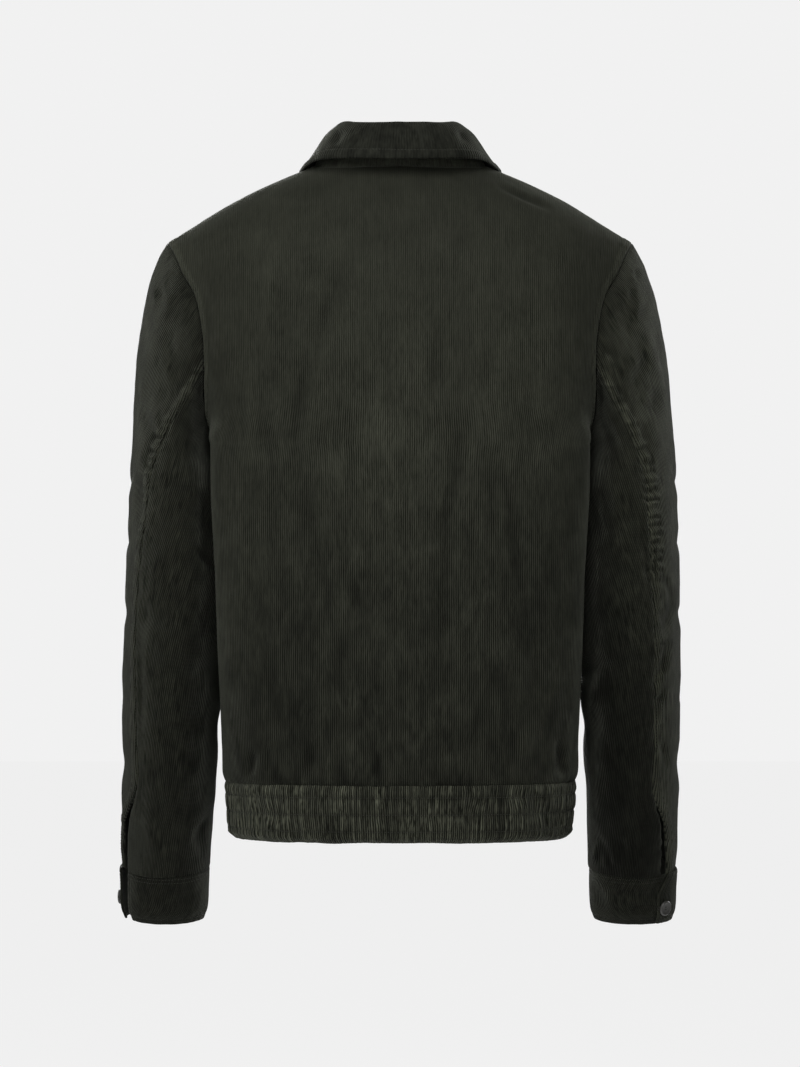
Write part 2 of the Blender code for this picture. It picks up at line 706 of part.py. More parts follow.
# ---------------------------------------------------------------- sleeves and cuffs
def seam_angles(side, z):
    """Angles of the top sleeve's and the under sleeve's edge along the seam at the back of the arm."""
    middle = smooth_read(ARM_SEAM, "z", z, side + "_angle")
    gape = max(0.0, smooth_read(ARM_SEAM, "z", z, side + "_gape"))
    return middle + gape / 2, middle - gape / 2


def sleeve_grid(side, steps, top):
    """Rings of one half of a sleeve, from the armhole down to the cuff."""

    def angles(start, end):
        return [mix(start, end, i / steps) for i in range(steps + 1)]

    first = (BACK_SEAM_AT_ARMHOLE, FRONT_SEAM_AT_ARMHOLE)
    outer_edge, inner_edge = seam_angles(side, SLEEVE[0].z)
    arm = (outer_edge, FRONT_SEAM)
    if not top:
        first = (first[1], first[0] + 360)
        arm = (FRONT_SEAM, inner_edge + 360)
    grid = []
    for ring in range(CAP_STEPS):
        pairs = zip(angles(*first), angles(*arm))
        grid.append([sleeve_cap_point(side, ring / CAP_STEPS, a, b) for a, b in pairs])
    for z in SLEEVE_RING_HEIGHTS:
        outer_edge, inner_edge = seam_angles(side, z)
        arm = (outer_edge, FRONT_SEAM) if top else (FRONT_SEAM, inner_edge + 360)
        grid.append([sleeve_section_point(side, z, angle) for angle in angles(*arm)])
    return grid


def arm_centre(z):
    if z > SLEEVE[0].z:
        share = (z - SLEEVE[0].z) / (SHOULDER_DROP - SLEEVE[0].z)
        x = mix(SLEEVE[0].centre_x, ARMHOLE_MID_X, share)
        return Vector((x, mix(SLEEVE[0].centre_y, ARMHOLE_MID_Y, share), z))
    return Vector((smooth_read(SLEEVE, "z", z, "centre_x"), smooth_read(SLEEVE, "z", z, "centre_y"), z))


def sleeve_outward(point):
    away = point - arm_centre(point.z)
    return Vector((away.x, away.y, 0.5 * max(0.0, point.z - ARMHOLE_MID_Z)))


def fold_sleeve(grid):
    """Sinks the sleeve's folds, away from its seams and from the armhole."""
    normals = grid_normals(grid, sleeve_outward)
    for r in range(2, len(grid) - 1):
        for c in range(1, len(grid[r]) - 1):
            point = grid[r][c]
            away = point - arm_centre(point.z)
            around = math.degrees(math.atan2(away.x, away.y)) % 360
            depth = sum(fold_depth(SLEEVE_FOLDS, point.z, a) for a in (around - 360, around, around + 360))
            grid[r][c] = point - normals[r][c] * depth


def sleeve_panels(side, cloth):
    """The outer and the inner half of a sleeve."""
    panels = []
    for name, steps in (("top_sleeve_", TOP_SLEEVE_STEPS), ("under_sleeve_", UNDER_SLEEVE_STEPS)):
        grid = sleeve_grid(side, steps, top=name == "top_sleeve_")
        fold_sleeve(grid)
        panels.append(Panel(name + side, grid, CLOTH, cloth, sleeve_outward))
    return panels


def cuff_panel(side, cloth):
    """A cuff is one strip round the wrist. Its tab end stands off, so it can lie on the other end."""
    ends = CUFFS[side]
    grid = []
    for row in CUFF_ROWS:
        z = mix(CUFF_TOP, CUFF_BOTTOM, row.share)
        tab = mix(ends.tab_top, ends.tab, row.cut)
        line = []
        for i in range(CUFF_STEPS + 1):
            angle = mix(tab, ends.under, i / CUFF_STEPS)
            point = sleeve_section_point(side, z, angle)
            down = soft_step((angle - ends.tab - CUFF_TAB_REACH) / CUFF_TAB_FADE)
            lift = CUFF_TAB_LIFT * (1 - down) - row.inset
            away = point - arm_centre(z)
            line.append(point + Vector((away.x, away.y, 0)).normalized() * lift)
        grid.append(line)
    return Panel("cuff_" + side, grid, CUFF_CLOTH, cloth, sleeve_outward)


# ---------------------------------------------------------------- collar
def collar_angles():
    left = [section.angle for section in COLLAR]
    return [-a for a in left[:0:-1]] + left


def on_side(point, angle):
    return Vector((math.copysign(point.x, angle) if angle else 0.0, point.y, point.z))


def collar_outward(point):
    return Vector((point.x, point.y, 0.02))


def collar_stand(cloth):
    """The band that stands up from the neck seam and leans in towards the fold."""
    rows = []
    for row in range(STAND_ROWS):
        share = row / (STAND_ROWS - 1)
        line = []
        for angle in collar_angles():
            seam, fold, _ = collar_frame(abs(angle))
            point = seam.lerp(fold, share)
            point.z += SEAM_GAP * (1 - share)
            line.append(on_side(point, angle))
        rows.append(line)
    return Panel("collar_stand", rows, CLOTH, cloth, collar_outward)


def collar_fall_point(angle, share):
    """A point of the turned-down part's outer face, from the fold, share 0, to its outer edge."""
    _, fold, edge = collar_frame(abs(angle))
    last = COLLAR[-1].angle
    before, after = (collar_frame(min(abs(angle) + step, last))[1] for step in (-1, 1))
    out = Vector((edge.x - fold.x, edge.y - fold.y, 0)).normalized()
    up = (after - before).cross(out).normalized()
    up *= math.copysign(1, up.z)
    start = fold + up * COLLAR_ROLL - out * CLOTH
    first = start + out * COLLAR_TURN_OUT + up * COLLAR_TURN_UP
    second = fold.lerp(edge, COLLAR_BOW_AT) + out * COLLAR_BOW
    s, r = share, 1 - share
    point = start * r**3 + first * (3 * s * r * r) + second * (3 * s * s * r) + edge * s**3
    return on_side(point, angle)


def collar_fall(cloth):
    grid = [[collar_fall_point(angle, share) for angle in collar_angles()] for share in COLLAR_FALL_SHARES]
    return Panel("collar_fall", grid, CLOTH, cloth, collar_outward)


# ---------------------------------------------------------------- buttons
def button(name, centre, normal, material):
    """A turned button with a raised rim, which lies just off the cloth."""
    mesh = bmesh.new()
    rings = []
    for point in BUTTON_PROFILE:
        radius, height = point.radius * BUTTON_RADIUS, point.height * BUTTON_THICK
        if radius == 0:
            rings.append([mesh.verts.new((0, 0, height))])
            continue
        turns = (2 * math.pi * i / BUTTON_SIDES for i in range(BUTTON_SIDES))
        rings.append([mesh.verts.new((radius * math.cos(t), radius * math.sin(t), height)) for t in turns])
    for low, high in zip(rings, rings[1:]):
        for i in range(BUTTON_SIDES):
            j = (i + 1) % BUTTON_SIDES
            corners = [low[i % len(low)], low[j % len(low)], high[j % len(high)], high[i % len(high)]]
            mesh.faces.new(list(dict.fromkeys(corners)))
    piece = add_object(name, mesh, material)
    piece.rotation_mode = "QUATERNION"
    piece.rotation_quaternion = normal.to_track_quat("Z", "Y")
    piece.location = centre + normal * SEAM_GAP
    return piece


def place_on_column(panel, column, z):
    """Point and normal of a panel's outer face where one of its columns crosses a height."""
    for r in range(len(panel.grid) - 1):
        low, high = panel.grid[r][column], panel.grid[r + 1][column]
        if min(low.z, high.z) <= z <= max(low.z, high.z):
            share = (z - low.z) / (high.z - low.z)
            across = panel.grid[r][column + 1] - panel.grid[r][column - 1]
            normal = (high - low).cross(across).normalized()
            if normal.dot(panel.normals[r][column]) < 0:
                normal = -normal
            return low.lerp(high, share), normal
    raise ValueError(f"{panel.name} doesn't reach {z}")


def front_buttons(panel, horn):
    for number, z in enumerate(FRONT_BUTTON_HEIGHTS, 1):
        centre, normal = place_on_column(panel, 1, z)
        button(f"button_front_{number}", centre, normal, horn)


def band_button(panel, horn):
    centre, normal = place_on_column(panel, 1, mix(BAND_TOP, BAND_BOTTOM, 0.5))
    button("button_waistband", centre, normal, horn)


def cuff_button(panel, side, horn):
    """Sits on the two columns nearest its angle, clear of the highest corner round it."""
    ends = CUFFS[side]
    steps = len(panel.grid[0]) - 1
    c = int((ends.button - ends.tab) / (ends.under - ends.tab) * steps)
    upper, lower = CUFF_ROWS[1].share, CUFF_ROWS[2].share
    down = (CUFF_BUTTON_DOWN - upper) / (lower - upper)
    centre = sum((panel.grid[1][k].lerp(panel.grid[2][k], down) for k in (c, c + 1)), Vector()) / 2
    across = panel.grid[1][c + 1] - panel.grid[1][c]
    normal = across.cross(panel.grid[2][c] - panel.grid[1][c]).normalized()
    if normal.dot(panel.normals[1][c]) < 0:
        normal = -normal
    near = [panel.grid[r][k] for r in (1, 2) for k in range(max(0, c - 1), c + 3)]
    rise = max((point - centre).dot(normal) for point in near)
    button("button_cuff_" + side, centre + normal * max(0.0, rise), normal, horn)


# ---------------------------------------------------------------- materials
def plain_material(name, colour, roughness):
    material = bpy.data.materials.new(name)
    material.use_nodes = True
    shader = material.node_tree.nodes["Principled BSDF"]
    shader.inputs["Base Color"].default_value = (*colour, 1)
    shader.inputs["Roughness"].default_value = roughness
    shader.inputs["Metallic"].default_value = 0.0
    return material


def main():
    for old in list(bpy.data.objects):
        bpy.data.objects.remove(old)
    cloth = plain_material("corduroy", (0.026, 0.028, 0.021), 0.9)
    trim = plain_material("corduroy_trim", (0.024, 0.026, 0.019), 0.9)
    horn = plain_material("button_horn", (0.020, 0.018, 0.015), 0.35)

    body = [back_panel(cloth), front_panel("left", cloth), front_panel("right", cloth)]
    band = [band_back(trim), band_front("left", trim), band_front("right", trim)]
    collar = [collar_stand(trim), collar_fall(trim)]
    left_arm = sleeve_panels("left", cloth) + [cuff_panel("left", trim)]
    right_arm = sleeve_panels("right", cloth) + [cuff_panel("right", trim)]
    for panel in right_arm:
        panel.grid = mirrored(panel.grid)
        panel.normals = mirrored(panel.normals)

    for joined in (body, band, left_arm[:2], right_arm[:2]):
        match_seam_normals(joined, most_turn=180)
    match_seam_normals(body + left_arm[:2] + right_arm[:2], most_turn=70)
    for arm, away in ((left_arm, 1), (right_arm, -1)):
        for panel in arm:
            panel.grid = [[p + Vector((away * SLEEVE_CLEARANCE, 0, 0)) for p in line] for line in panel.grid]
    panels = body + band + collar + left_arm + right_arm
    for panel in panels:
        draw_back_borders(panel)
        build_panel(panel)

    front_buttons(body[1], horn)
    band_button(band[1], horn)
    cuff_button(left_arm[2], "left", horn)
    cuff_button(right_arm[2], "right", horn)


main()
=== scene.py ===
"""Looks of the corduroy jacket: fine cloth shells with creases, puckered seams, gathers and stitches.

Metres, +Z up, front towards -Y, the wearer's left at +X. Each cloth shell follows the surface of the solid that it
replaces, worked out from the same sizes, and adds relief along that surface's normals.
"""

import itertools
import math
from collections import namedtuple

import bpy
import numpy as np
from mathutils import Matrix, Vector


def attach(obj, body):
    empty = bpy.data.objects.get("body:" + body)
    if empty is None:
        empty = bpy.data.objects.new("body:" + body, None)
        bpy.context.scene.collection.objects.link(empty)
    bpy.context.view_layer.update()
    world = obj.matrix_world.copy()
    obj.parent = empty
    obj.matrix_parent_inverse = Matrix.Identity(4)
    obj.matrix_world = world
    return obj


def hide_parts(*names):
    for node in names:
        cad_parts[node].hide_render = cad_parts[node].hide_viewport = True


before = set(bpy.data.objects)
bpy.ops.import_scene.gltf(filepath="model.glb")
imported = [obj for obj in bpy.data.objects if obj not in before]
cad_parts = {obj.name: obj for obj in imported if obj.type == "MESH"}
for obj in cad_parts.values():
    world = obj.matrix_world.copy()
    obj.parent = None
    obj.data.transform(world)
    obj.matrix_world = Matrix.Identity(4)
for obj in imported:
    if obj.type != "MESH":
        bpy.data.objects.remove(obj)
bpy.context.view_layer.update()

# ---------------------------------------------------------------- sizes shared with the solids
CLOTH, BAND_CLOTH, CUFF_CLOTH = 0.0020, 0.0030, 0.0024
LAP_GAP = 0.0006
SHOULDER_HALF, SHOULDER_DROP, SHOULDER_ARCH = 0.2275, -0.0735, 0.0055
NECK_HALF, NECK_BACK, NECK_FRONT = 0.085, 0.0608, 0.090
NECK_POINT_Z, CROWN_Z = 0.002, 0.027
FRONT_LAP, LAP_RAMP = 0.017, 0.016
ARMHOLE_MID_X, ARMHOLE_MID_Y, ARMHOLE_MID_Z = 0.195, -0.004, -0.1728
ARMHOLE_HALF_Y, ARMHOLE_HALF_Z = 0.064, 0.0993
SLEEVE_CLEARANCE = 0.0004
BAND_TOP, BAND_BOTTOM = -0.5986, -0.6530
GATHER_FADE = 0.09
BUTTON_RADIUS, BUTTON_THICK = 0.0075, 0.0030
SQUARENESS = 0.70
HOLLOW_BACK, HOLLOW_FRONT = 16.0, 30.0
NECK_COLUMN = math.degrees(math.asin((NECK_HALF / SHOULDER_HALF) ** (1 / SQUARENESS))) / 90
BISECTIONS = 30
END_ANGLE_DIP = 26
HOLLOW_REACH = 0.4
ROLL_FROM, ROLL_SPREAD, ARMHOLE_PULL = 1.5, 0.6, 4
CROWN_RISE = {"back": 0.15, "front": 0.75}
FULLNESS = {"back": 1.0, "front": 0.33}

BodySection = namedtuple("BodySection", "z half_width side_x back_y front_y")
BODY = [
    BodySection(-0.5982, 0.1712, 0.1712, 0.1105, -0.1165),
    BodySection(-0.5850, 0.1745, 0.1735, 0.1138, -0.1203),
    BodySection(-0.5400, 0.1815, 0.1725, 0.1150, -0.1240),
    BodySection(-0.4800, 0.1880, 0.1665, 0.1165, -0.1275),
    BodySection(-0.4000, 0.1930, 0.1612, 0.1190, -0.1310),
    BodySection(-0.3300, 0.1980, 0.1588, 0.1210, -0.1330),
    BodySection(-0.2720, 0.1985, 0.1630, 0.1220, -0.1330),
]
CentreLine = namedtuple("CentreLine", "level z y")
BACK_CENTRE = [
    CentreLine(1.00, -0.272, 0.1220),
    CentreLine(1.25, -0.200, 0.1235),
    CentreLine(1.50, -0.132, 0.1185),
]
FRONT_CENTRE = [
    CentreLine(1.00, -0.272, -0.1330),
    CentreLine(1.25, -0.223, -0.1325),
    CentreLine(1.50, -0.174, -0.1270),
]
ArmholePoint = namedtuple("ArmholePoint", "angle x")
ARMHOLE = [
    ArmholePoint(-90, 0.1630),
    ArmholePoint(-70, 0.1775),
    ArmholePoint(-45, 0.1880),
    ArmholePoint(0, 0.1900),
    ArmholePoint(25, 0.1975),
    ArmholePoint(45, 0.2130),
    ArmholePoint(90, SHOULDER_HALF),
    ArmholePoint(135, 0.2090),
    ArmholePoint(155, 0.1930),
    ArmholePoint(180, 0.1860),
    ArmholePoint(225, 0.1820),
    ArmholePoint(250, 0.1740),
    ArmholePoint(270, 0.1630),
]
BandRow = namedtuple("BandRow", "share gather_height inset")
BAND = [
    BandRow(0.00, 0.0014, 0.0000),
    BandRow(0.20, 0.0009, 0.0008),
    BandRow(0.35, 0.0027, 0.0012),
    BandRow(0.50, 0.0009, 0.0018),
    BandRow(0.65, 0.0027, 0.0024),
    BandRow(0.80, 0.0009, 0.0031),
    BandRow(0.93, 0.0024, 0.0046),
    BandRow(1.00, 0.0018, 0.0090),
]
BAND_STITCH_SHARES = (0.20, 0.50, 0.80)
SleeveSection = namedtuple("SleeveSection", "z centre_x centre_y half_x half_y tilt bow")
SLEEVE = [
    SleeveSection(-0.320, 0.2162, -0.010, 0.0521, 0.0680, 0.00, 0.0029),
    SleeveSection(-0.400, 0.2192, -0.012, 0.0524, 0.0640, 0.02, 0.0026),
    SleeveSection(-0.480, 0.2232, -0.018, 0.0502, 0.0590, 0.08, 0.0017),
    SleeveSection(-0.550, 0.2265, -0.030, 0.0482, 0.0545, 0.16, 0.0009),
    SleeveSection(-0.620, 0.2294, -0.044, 0.0458, 0.0495, 0.20, 0.0004),
    SleeveSection(-0.689, 0.2313, -0.058, 0.0432, 0.0430, 0.20, -0.0008),
    SleeveSection(-0.739, 0.2318, -0.067, 0.0415, 0.0405, 0.20, -0.0010),
]
SLEEVE_END = -0.6886
CUFF_TOP, CUFF_BOTTOM = -0.6892, -0.7378
ArmSeam = namedtuple("ArmSeam", "z left_angle right_angle left_gape right_gape")
ARM_SEAM = [
    ArmSeam(-0.320, 34, 21, 0, 0),
    ArmSeam(-0.380, 41, 24, 0, 0),
    ArmSeam(-0.450, 46, 26, 0, 0),
    ArmSeam(-0.550, 40, 25, 0, 0),
    ArmSeam(-0.600, 39, 23, 0, 0),
    ArmSeam(-0.640, 64, 39, 15, 9),
    ArmSeam(-0.665, 69, 43, 19, 12),
    ArmSeam(-0.690, 70, 44, 18, 13),
]
VENT_TOP = -0.600
BACK_SEAM_AT_ARMHOLE, FRONT_SEAM_AT_ARMHOLE, FRONT_SEAM = -15.0, 210.0, 215.0
CAP_OUT_AT_TOP, CAP_OUT_AT_ARMPIT, CAP_ROUND, CAP_DOWN = 0.53, 0.06, 0.14, 0.84
CAP_FADE, CAP_LEAVE, ARM_OUT = 1.2, 0.85, 0.03
CuffEnds = namedtuple("CuffEnds", "tab_top tab under button")
CUFFS = {"left": CuffEnds(79.0, 79.0, 421.0, 95.0), "right": CuffEnds(50.5, 33.5, 421.0, 44.0)}
CUFF_TAB_LIFT, CUFF_TAB_REACH, CUFF_TAB_FADE = 0.0036, 30.0, 40.0
CuffRow = namedtuple("CuffRow", "share inset cut")
CUFF_ROWS = [
    CuffRow(0.00, 0.0000, 0.0),
    CuffRow(0.36, 0.0000, 0.9),
    CuffRow(0.80, 0.0006, 1.0),
    CuffRow(1.00, 0.0036, 1.0),
]
CollarSection = namedtuple("CollarSection", "angle fold_x fold_y fold_z edge_x edge_y edge_z")
COLLAR = [
    CollarSection(0.0, 0.0000, 0.0600, 0.0365, 0.0000, 0.0880, 0.0016),
    CollarSection(22.5, 0.0270, 0.0555, 0.0365, 0.0370, 0.0815, 0.0028),
    CollarSection(45.0, 0.0480, 0.0410, 0.0362, 0.0690, 0.0590, 0.0050),
    CollarSection(67.5, 0.0610, 0.0190, 0.0350, 0.0900, 0.0270, 0.0062),
    CollarSection(90.0, 0.0655, -0.0060, 0.0300, 0.0990, -0.0080, 0.0020),
    CollarSection(112.5, 0.0610, -0.0320, 0.0165, 0.1010, -0.0440, -0.0145),
    CollarSection(135.0, 0.0470, -0.0560, -0.0040, 0.0950, -0.0800, -0.0440),
    CollarSection(157.5, 0.0260, -0.0730, -0.0300, 0.0780, -0.1070, -0.0780),
    CollarSection(176.0, 0.0060, -0.0820, -0.0500, 0.0540, -0.1210, -0.1100),
]
COLLAR_ROLL = 0.0028
COLLAR_TURN_OUT, COLLAR_TURN_UP = 0.011, 0.0015
COLLAR_BOW_AT, COLLAR_BOW = 0.55, 0.006
Fold = namedtuple("Fold", "z across height width depth lean")
BACK_FOLDS = [
    Fold(-0.330, 0.088, 0.170, 0.024, 0.0030, 0.00),
    Fold(-0.360, 0.026, 0.150, 0.022, 0.0022, 0.02),
    Fold(-0.380, -0.052, 0.200, 0.026, 0.0034, -0.03),
    Fold(-0.330, -0.120, 0.140, 0.022, 0.0026, 0.02),
]
FRONT_FOLDS = [
    Fold(-0.360, 0.070, 0.150, 0.026, 0.0030, 0.03),
    Fold(-0.420, 0.120, 0.120, 0.022, 0.0026, -0.02),
]
SLEEVE_FOLDS = [
    Fold(-0.225, 5.0, 0.020, 42.0, 0.0036, -60.0),
    Fold(-0.345, 330.0, 0.018, 46.0, 0.0030, 120.0),
    Fold(-0.440, 20.0, 0.015, 50.0, 0.0034, -160.0),
    Fold(-0.492, 300.0, 0.015, 55.0, 0.0042, 150.0),
    Fold(-0.548, 230.0, 0.016, 60.0, 0.0040, 80.0),
    Fold(-0.585, 100.0, 0.014, 45.0, 0.0030, -90.0),
]

# ---------------------------------------------------------------- sizes of the looks
WALE = 0.0021  # from one rib of the corduroy to the next
SEAM_TUCK, SEAM_TUCK_WIDTH = 0.0006, 0.0013
SEAM_BULGE = 0.0003  # how far a sewn edge rounds out into its seam
WELT_WIDTH, WELT_HEIGHT = 0.0085, 0.0009
STITCH_PINCH, STITCH_PINCH_WIDTH = 0.00035, 0.0009
STITCH_STEP, STITCH_LENGTH, STITCH_RADIUS = 0.0031, 0.0024, 0.00026
TOPSTITCH_NEAR, TOPSTITCH_FAR = 0.0016, 0.0078  # the two rows on a welt, from its seam
EDGE_STITCH = 0.0050  # from a finished edge
FOLD_FADE = 0.014  # folds die out this near to a seam
CRUMPLE_FADE = 0.004  # and crumples this near to the cuff
SEAM_CLOSE = 0.0009  # how far the edges at the armhole and down the arm round out, so that they close on each other
# painted highlight on each rung and painted shade in the pit under it
RUNG_PAINTED_LIGHT_AND_SHADE = 260.0
CREASE_PAINTED_LIGHT_AND_SHADE = 105.0  # painted shade: the colour darkens by this much for each metre that a crease is deep, and a ridge is painted as much lighter

# Creases of a face as seen from straight on. depth is below the face, or a ridge where it is negative; bend moves
# the middle of the crease sideways.
Crease = namedtuple("Crease", "x0 z0 x1 z1 bend width depth")
BACK_CREASES = [
    Crease(0.034, -0.079, 0.084, -0.183, 0.004, 0.010, 0.0012),
    Crease(0.084, -0.180, 0.098, -0.314, 0.006, 0.008, 0.0020),
    Crease(0.100, -0.290, 0.071, -0.415, -0.003, 0.009, 0.0018),
    Crease(0.041, -0.240, 0.051, -0.335, -0.002, 0.007, 0.0014),
    Crease(-0.036, -0.160, -0.026, -0.246, -0.004, 0.009, 0.0016),
    Crease(-0.071, -0.112, -0.063, -0.148, 0.002, 0.008, 0.0010),
    Crease(-0.066, -0.256, -0.043, -0.370, 0.003, 0.008, 0.0020),
    Crease(-0.046, -0.350, -0.034, -0.505, -0.002, 0.008, 0.0019),
    Crease(-0.090, -0.268, -0.090, -0.368, 0.001, 0.006, 0.0015),
    Crease(-0.124, -0.234, -0.129, -0.288, 0.001, 0.008, 0.0012),
    Crease(-0.096, -0.286, -0.118, -0.430, -0.002, 0.007, 0.0017),
    Crease(0.045, -0.405, 0.037, -0.436, 0.000, 0.006, 0.0012),
    Crease(0.139, -0.566, 0.143, -0.592, 0.001, 0.005, 0.0026),
    Crease(0.126, -0.560, 0.124, -0.586, 0.000, 0.004, 0.0014),
    Crease(0.082, -0.556, 0.086, -0.592, 0.000, 0.007, 0.0020),
    Crease(0.019, -0.566, 0.021, -0.592, 0.001, 0.005, 0.0026),
    Crease(0.004, -0.552, 0.008, -0.580, 0.001, 0.004, 0.0014),
    Crease(-0.075, -0.528, -0.079, -0.566, 0.002, 0.009, 0.0018),
    Crease(-0.153, -0.556, -0.156, -0.594, 0.000, 0.005, 0.0032),
    Crease(0.047, -0.550, 0.048, -0.576, 0.000, 0.008, -0.0014),
    Crease(-0.016, -0.548, -0.016, -0.578, 0.000, 0.008, -0.0014),
    Crease(-0.097, -0.505, -0.096, -0.536, 0.000, 0.007, -0.0012),
    Crease(-0.120, -0.545, -0.121, -0.574, 0.000, 0.008, -0.0016),
    Crease(0.142, -0.190, 0.143, -0.300, -0.002, 0.007, -0.0012),
    Crease(0.152, -0.340, 0.150, -0.430, 0.000, 0.008, -0.0014),
    Crease(-0.003, -0.140, -0.003, -0.190, 0.001, 0.006, -0.0009),
    Crease(0.017, -0.205, 0.017, -0.288, 0.002, 0.007, -0.0010),
    Crease(0.125, -0.084, 0.126, -0.160, 0.001, 0.007, -0.0010),
    Crease(-0.092, -0.020, -0.150, -0.046, 0.001, 0.004, 0.0014),
    Crease(0.052, -0.450, 0.056, -0.545, 0.002, 0.008, 0.0011),
    Crease(-0.128, -0.440, -0.122, -0.530, -0.002, 0.008, 0.0012),
    Crease(0.122, -0.460, 0.118, -0.540, 0.001, 0.009, 0.0010),
    Crease(-0.010, -0.300, -0.002, -0.400, 0.002, 0.008, 0.0008),
]
FRONT_CREASES = [
    Crease(0.052, -0.150, 0.082, -0.235, 0.004, 0.010, 0.0013),
    Crease(0.086, -0.215, 0.078, -0.345, 0.004, 0.009, 0.0018),
    Crease(0.128, -0.250, 0.140, -0.345, -0.003, 0.009, 0.0016),
    Crease(0.048, -0.300, 0.040, -0.420, 0.002, 0.008, 0.0014),
    Crease(0.100, -0.390, 0.112, -0.500, -0.003, 0.009, 0.0017),
    Crease(0.064, -0.440, 0.060, -0.540, 0.001, 0.008, 0.0013),
    Crease(0.140, -0.470, 0.146, -0.560, 0.002, 0.008, 0.0015),
    Crease(0.035, -0.556, 0.036, -0.590, 0.000, 0.006, 0.0018),
    Crease(0.086, -0.552, 0.088, -0.592, 0.001, 0.007, 0.0022),
    Crease(0.124, -0.560, 0.127, -0.592, 0.000, 0.006, 0.0020),
    Crease(0.060, -0.548, 0.061, -0.580, 0.000, 0.008, -0.0014),
    Crease(0.106, -0.520, 0.105, -0.560, 0.000, 0.007, -0.0012),
    Crease(0.118, -0.170, 0.122, -0.260, 0.001, 0.007, -0.0011),
]
